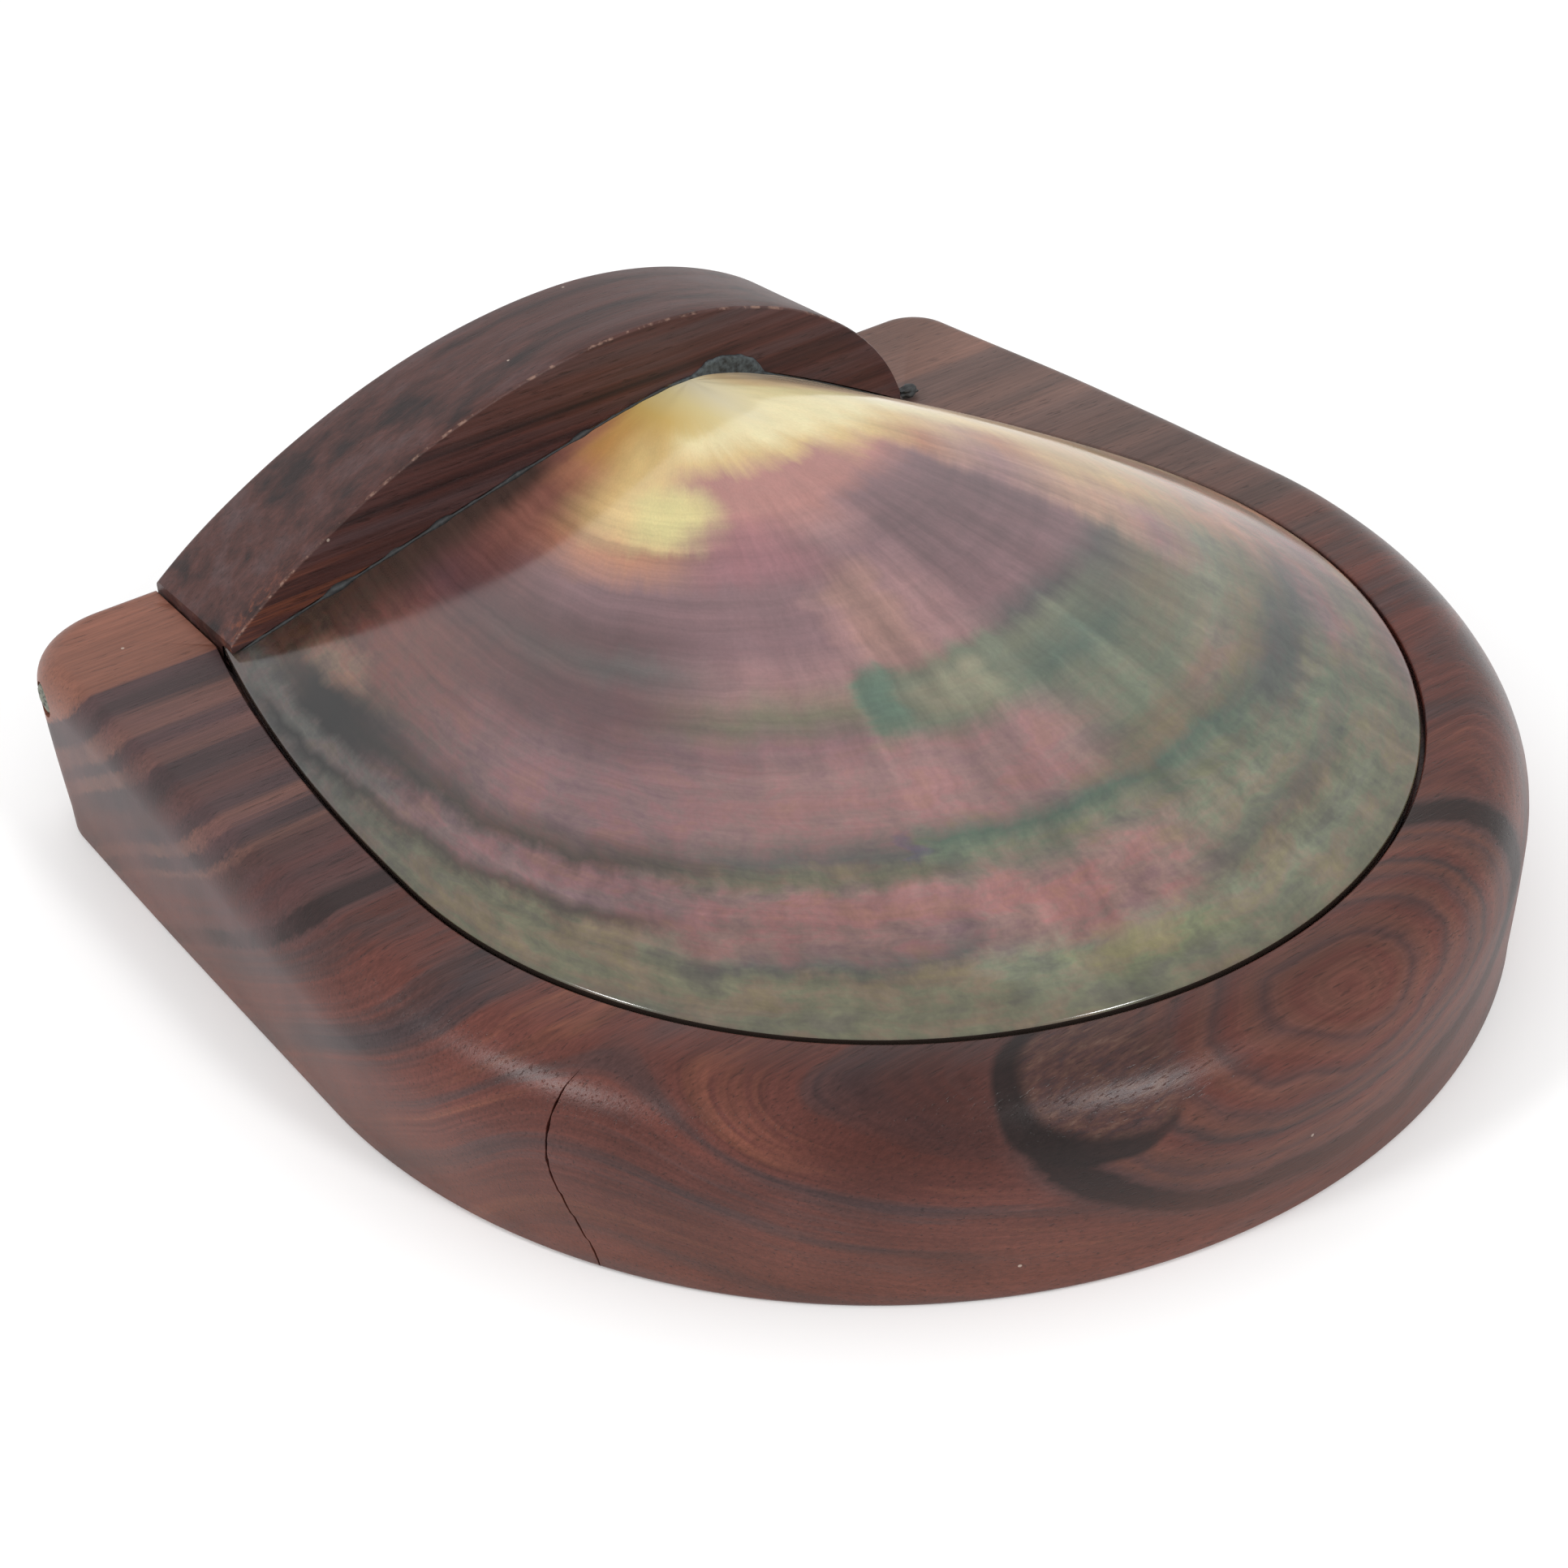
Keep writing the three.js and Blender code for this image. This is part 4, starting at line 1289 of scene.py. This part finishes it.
def pin_metal(small):
    """Old brass-like pin stock, dulled grey-green, with dark spots."""
    material, tree = new_material("dulled_pin_metal")
    spots = noise_at(tree, in_mm(tree), (1.4, 1.4, 1.4), 4.0, 0.7)
    surface(tree, {
        "Base Color": ramp(tree, spots, "0.38 #15140f, 0.5 metal, 0.7 #8d8f7e", colours(small)),
        "Metallic": 1.0,
        "Roughness": remap(tree, spots, 0.0, 1.0, 0.65, 0.35, soft=False),
    })
    return material


# ---- stage ----------------------------------------------------------------------------------------

FLOOR_SIZE = 6
ROOM_LIGHT = 0.92
CAMERA = {"azimuth": -34.5, "elevation": 35.68, "roll": -2.65, "distance": 0.3758, "lens": 63.52,
          "sensor": 36, "target": Vector((mm(-11.07), mm(5.47), mm(15)))}
LAMPS = (
    # name, direction that the light comes from, distance, size, power
    ("lamp_left", (-0.82, 0.04, 0.56), 1.1, 0.18, 2.8),
    ("lamp_front", (0.11, -0.74, 0.66), 1.1, 0.18, 2.8),
)


def make_floor():
    """The pale floor that the box stands on."""
    bm = bmesh.new()
    bmesh.ops.create_grid(bm, x_segments=1, y_segments=1, size=FLOOR_SIZE)
    mesh = mesh_of(bm, "floor")
    material, tree = new_material("white_card")
    surface(tree, {
        "Base Color": (0.95, 0.95, 0.95, 1),
        "Roughness": 0.9,
        "Emission Color": (1, 1, 1, 1),
        "Emission Strength": 0.06,
    })
    mesh.materials.append(material)
    floor = new_object("floor", mesh)


def make_light(scene):
    """The soft white light all round and two lamps that face the middle of the box."""
    world = bpy.data.worlds.new("white_room")
    world.use_nodes = True
    background = world.node_tree.nodes["Background"].inputs
    background["Color"].default_value = (1, 1, 1, 1)
    background["Strength"].default_value = ROOM_LIGHT
    scene.world = world
    for name, way, far, wide, power in LAMPS:
        light = bpy.data.lights.new(name, "AREA")
        light.shape = "DISK"
        light.size = wide
        light.energy = power
        back = Vector(way).normalized()
        turn = (-back).to_track_quat("-Z", "Y").to_matrix().to_4x4()
        new_object(name, light).matrix_world = Matrix.Translation(back * far) @ turn


def make_camera(scene):
    """The camera, which looks down on the box from its front left."""
    data = bpy.data.cameras.new("camera")
    data.lens = CAMERA["lens"]
    data.sensor_width = CAMERA["sensor"]
    data.clip_start = 0.01
    data.clip_end = 50
    turn, up = math.radians(CAMERA["azimuth"]), math.radians(CAMERA["elevation"])
    back = Vector((math.sin(turn) * math.cos(up), -math.cos(turn) * math.cos(up), math.sin(up)))
    right = Vector((math.cos(turn), math.sin(turn), 0))
    axes = Matrix((right, back.cross(right), back)).transposed().to_4x4()
    axes = axes @ Matrix.Rotation(math.radians(CAMERA["roll"]), 4, "Z")
    camera = new_object("camera", data)
    camera.matrix_world = Matrix.Translation(CAMERA["target"] + back * CAMERA["distance"]) @ axes
    scene.camera = camera


class SHELLBOX_OT_stage(bpy.types.Operator):
    """Make the pale floor, the soft light and the camera"""
    bl_idname = "shellbox.stage"
    bl_label = "Stage"

    def execute(self, context):
        make_floor()
        make_light(context.scene)
        make_camera(context.scene)
        context.scene.view_settings.view_transform = "Standard"
        return {"FINISHED"}


# ---- add-on ---------------------------------------------------------------------------------------

class SHELLBOX_PT_panel(bpy.types.Panel):
    """Sidebar panel that lists the pieces"""
    bl_idname = "SHELLBOX_PT_panel"
    bl_label = "Shell Box"
    bl_space_type = "VIEW_3D"
    bl_region_type = "UI"
    bl_category = "Shell Box"

    def draw(self, context):
        for operator in OPERATORS:
            self.layout.operator(operator.bl_idname)
        for group in GROUPS:
            settings = getattr(context.scene, group)
            for key in settings.__annotations__:
                self.layout.prop(settings, key)


GROUPS = {
    "shellbox_body": BodySettings,
    "shellbox_block": BlockSettings,
    "shellbox_shell": ShellSettings,
    "shellbox_small": SmallSettings,
}
OPERATORS = (SHELLBOX_OT_body, SHELLBOX_OT_shell, SHELLBOX_OT_block, SHELLBOX_OT_filler, SHELLBOX_OT_pins,
             SHELLBOX_OT_stage)
CLASSES = (*GROUPS.values(), *OPERATORS, SHELLBOX_PT_panel)


def register():
    """Adds the classes and the settings of the scene."""
    for cls in CLASSES:
        bpy.utils.register_class(cls)
    for name, group in GROUPS.items():
        setattr(bpy.types.Scene, name, PointerProperty(type=group))


def unregister():
    """Takes the classes and the settings away again."""
    for name in GROUPS:
        delattr(bpy.types.Scene, name)
    for cls in reversed(CLASSES):
        bpy.utils.unregister_class(cls)


def main():
    """Makes every piece and the stage."""
    register()
    bpy.ops.shellbox.body()
    bpy.ops.shellbox.shell()
    bpy.ops.shellbox.block()
    bpy.ops.shellbox.filler()
    bpy.ops.shellbox.pins()
    bpy.ops.shellbox.stage()


if __name__ == "__main__":
    main()
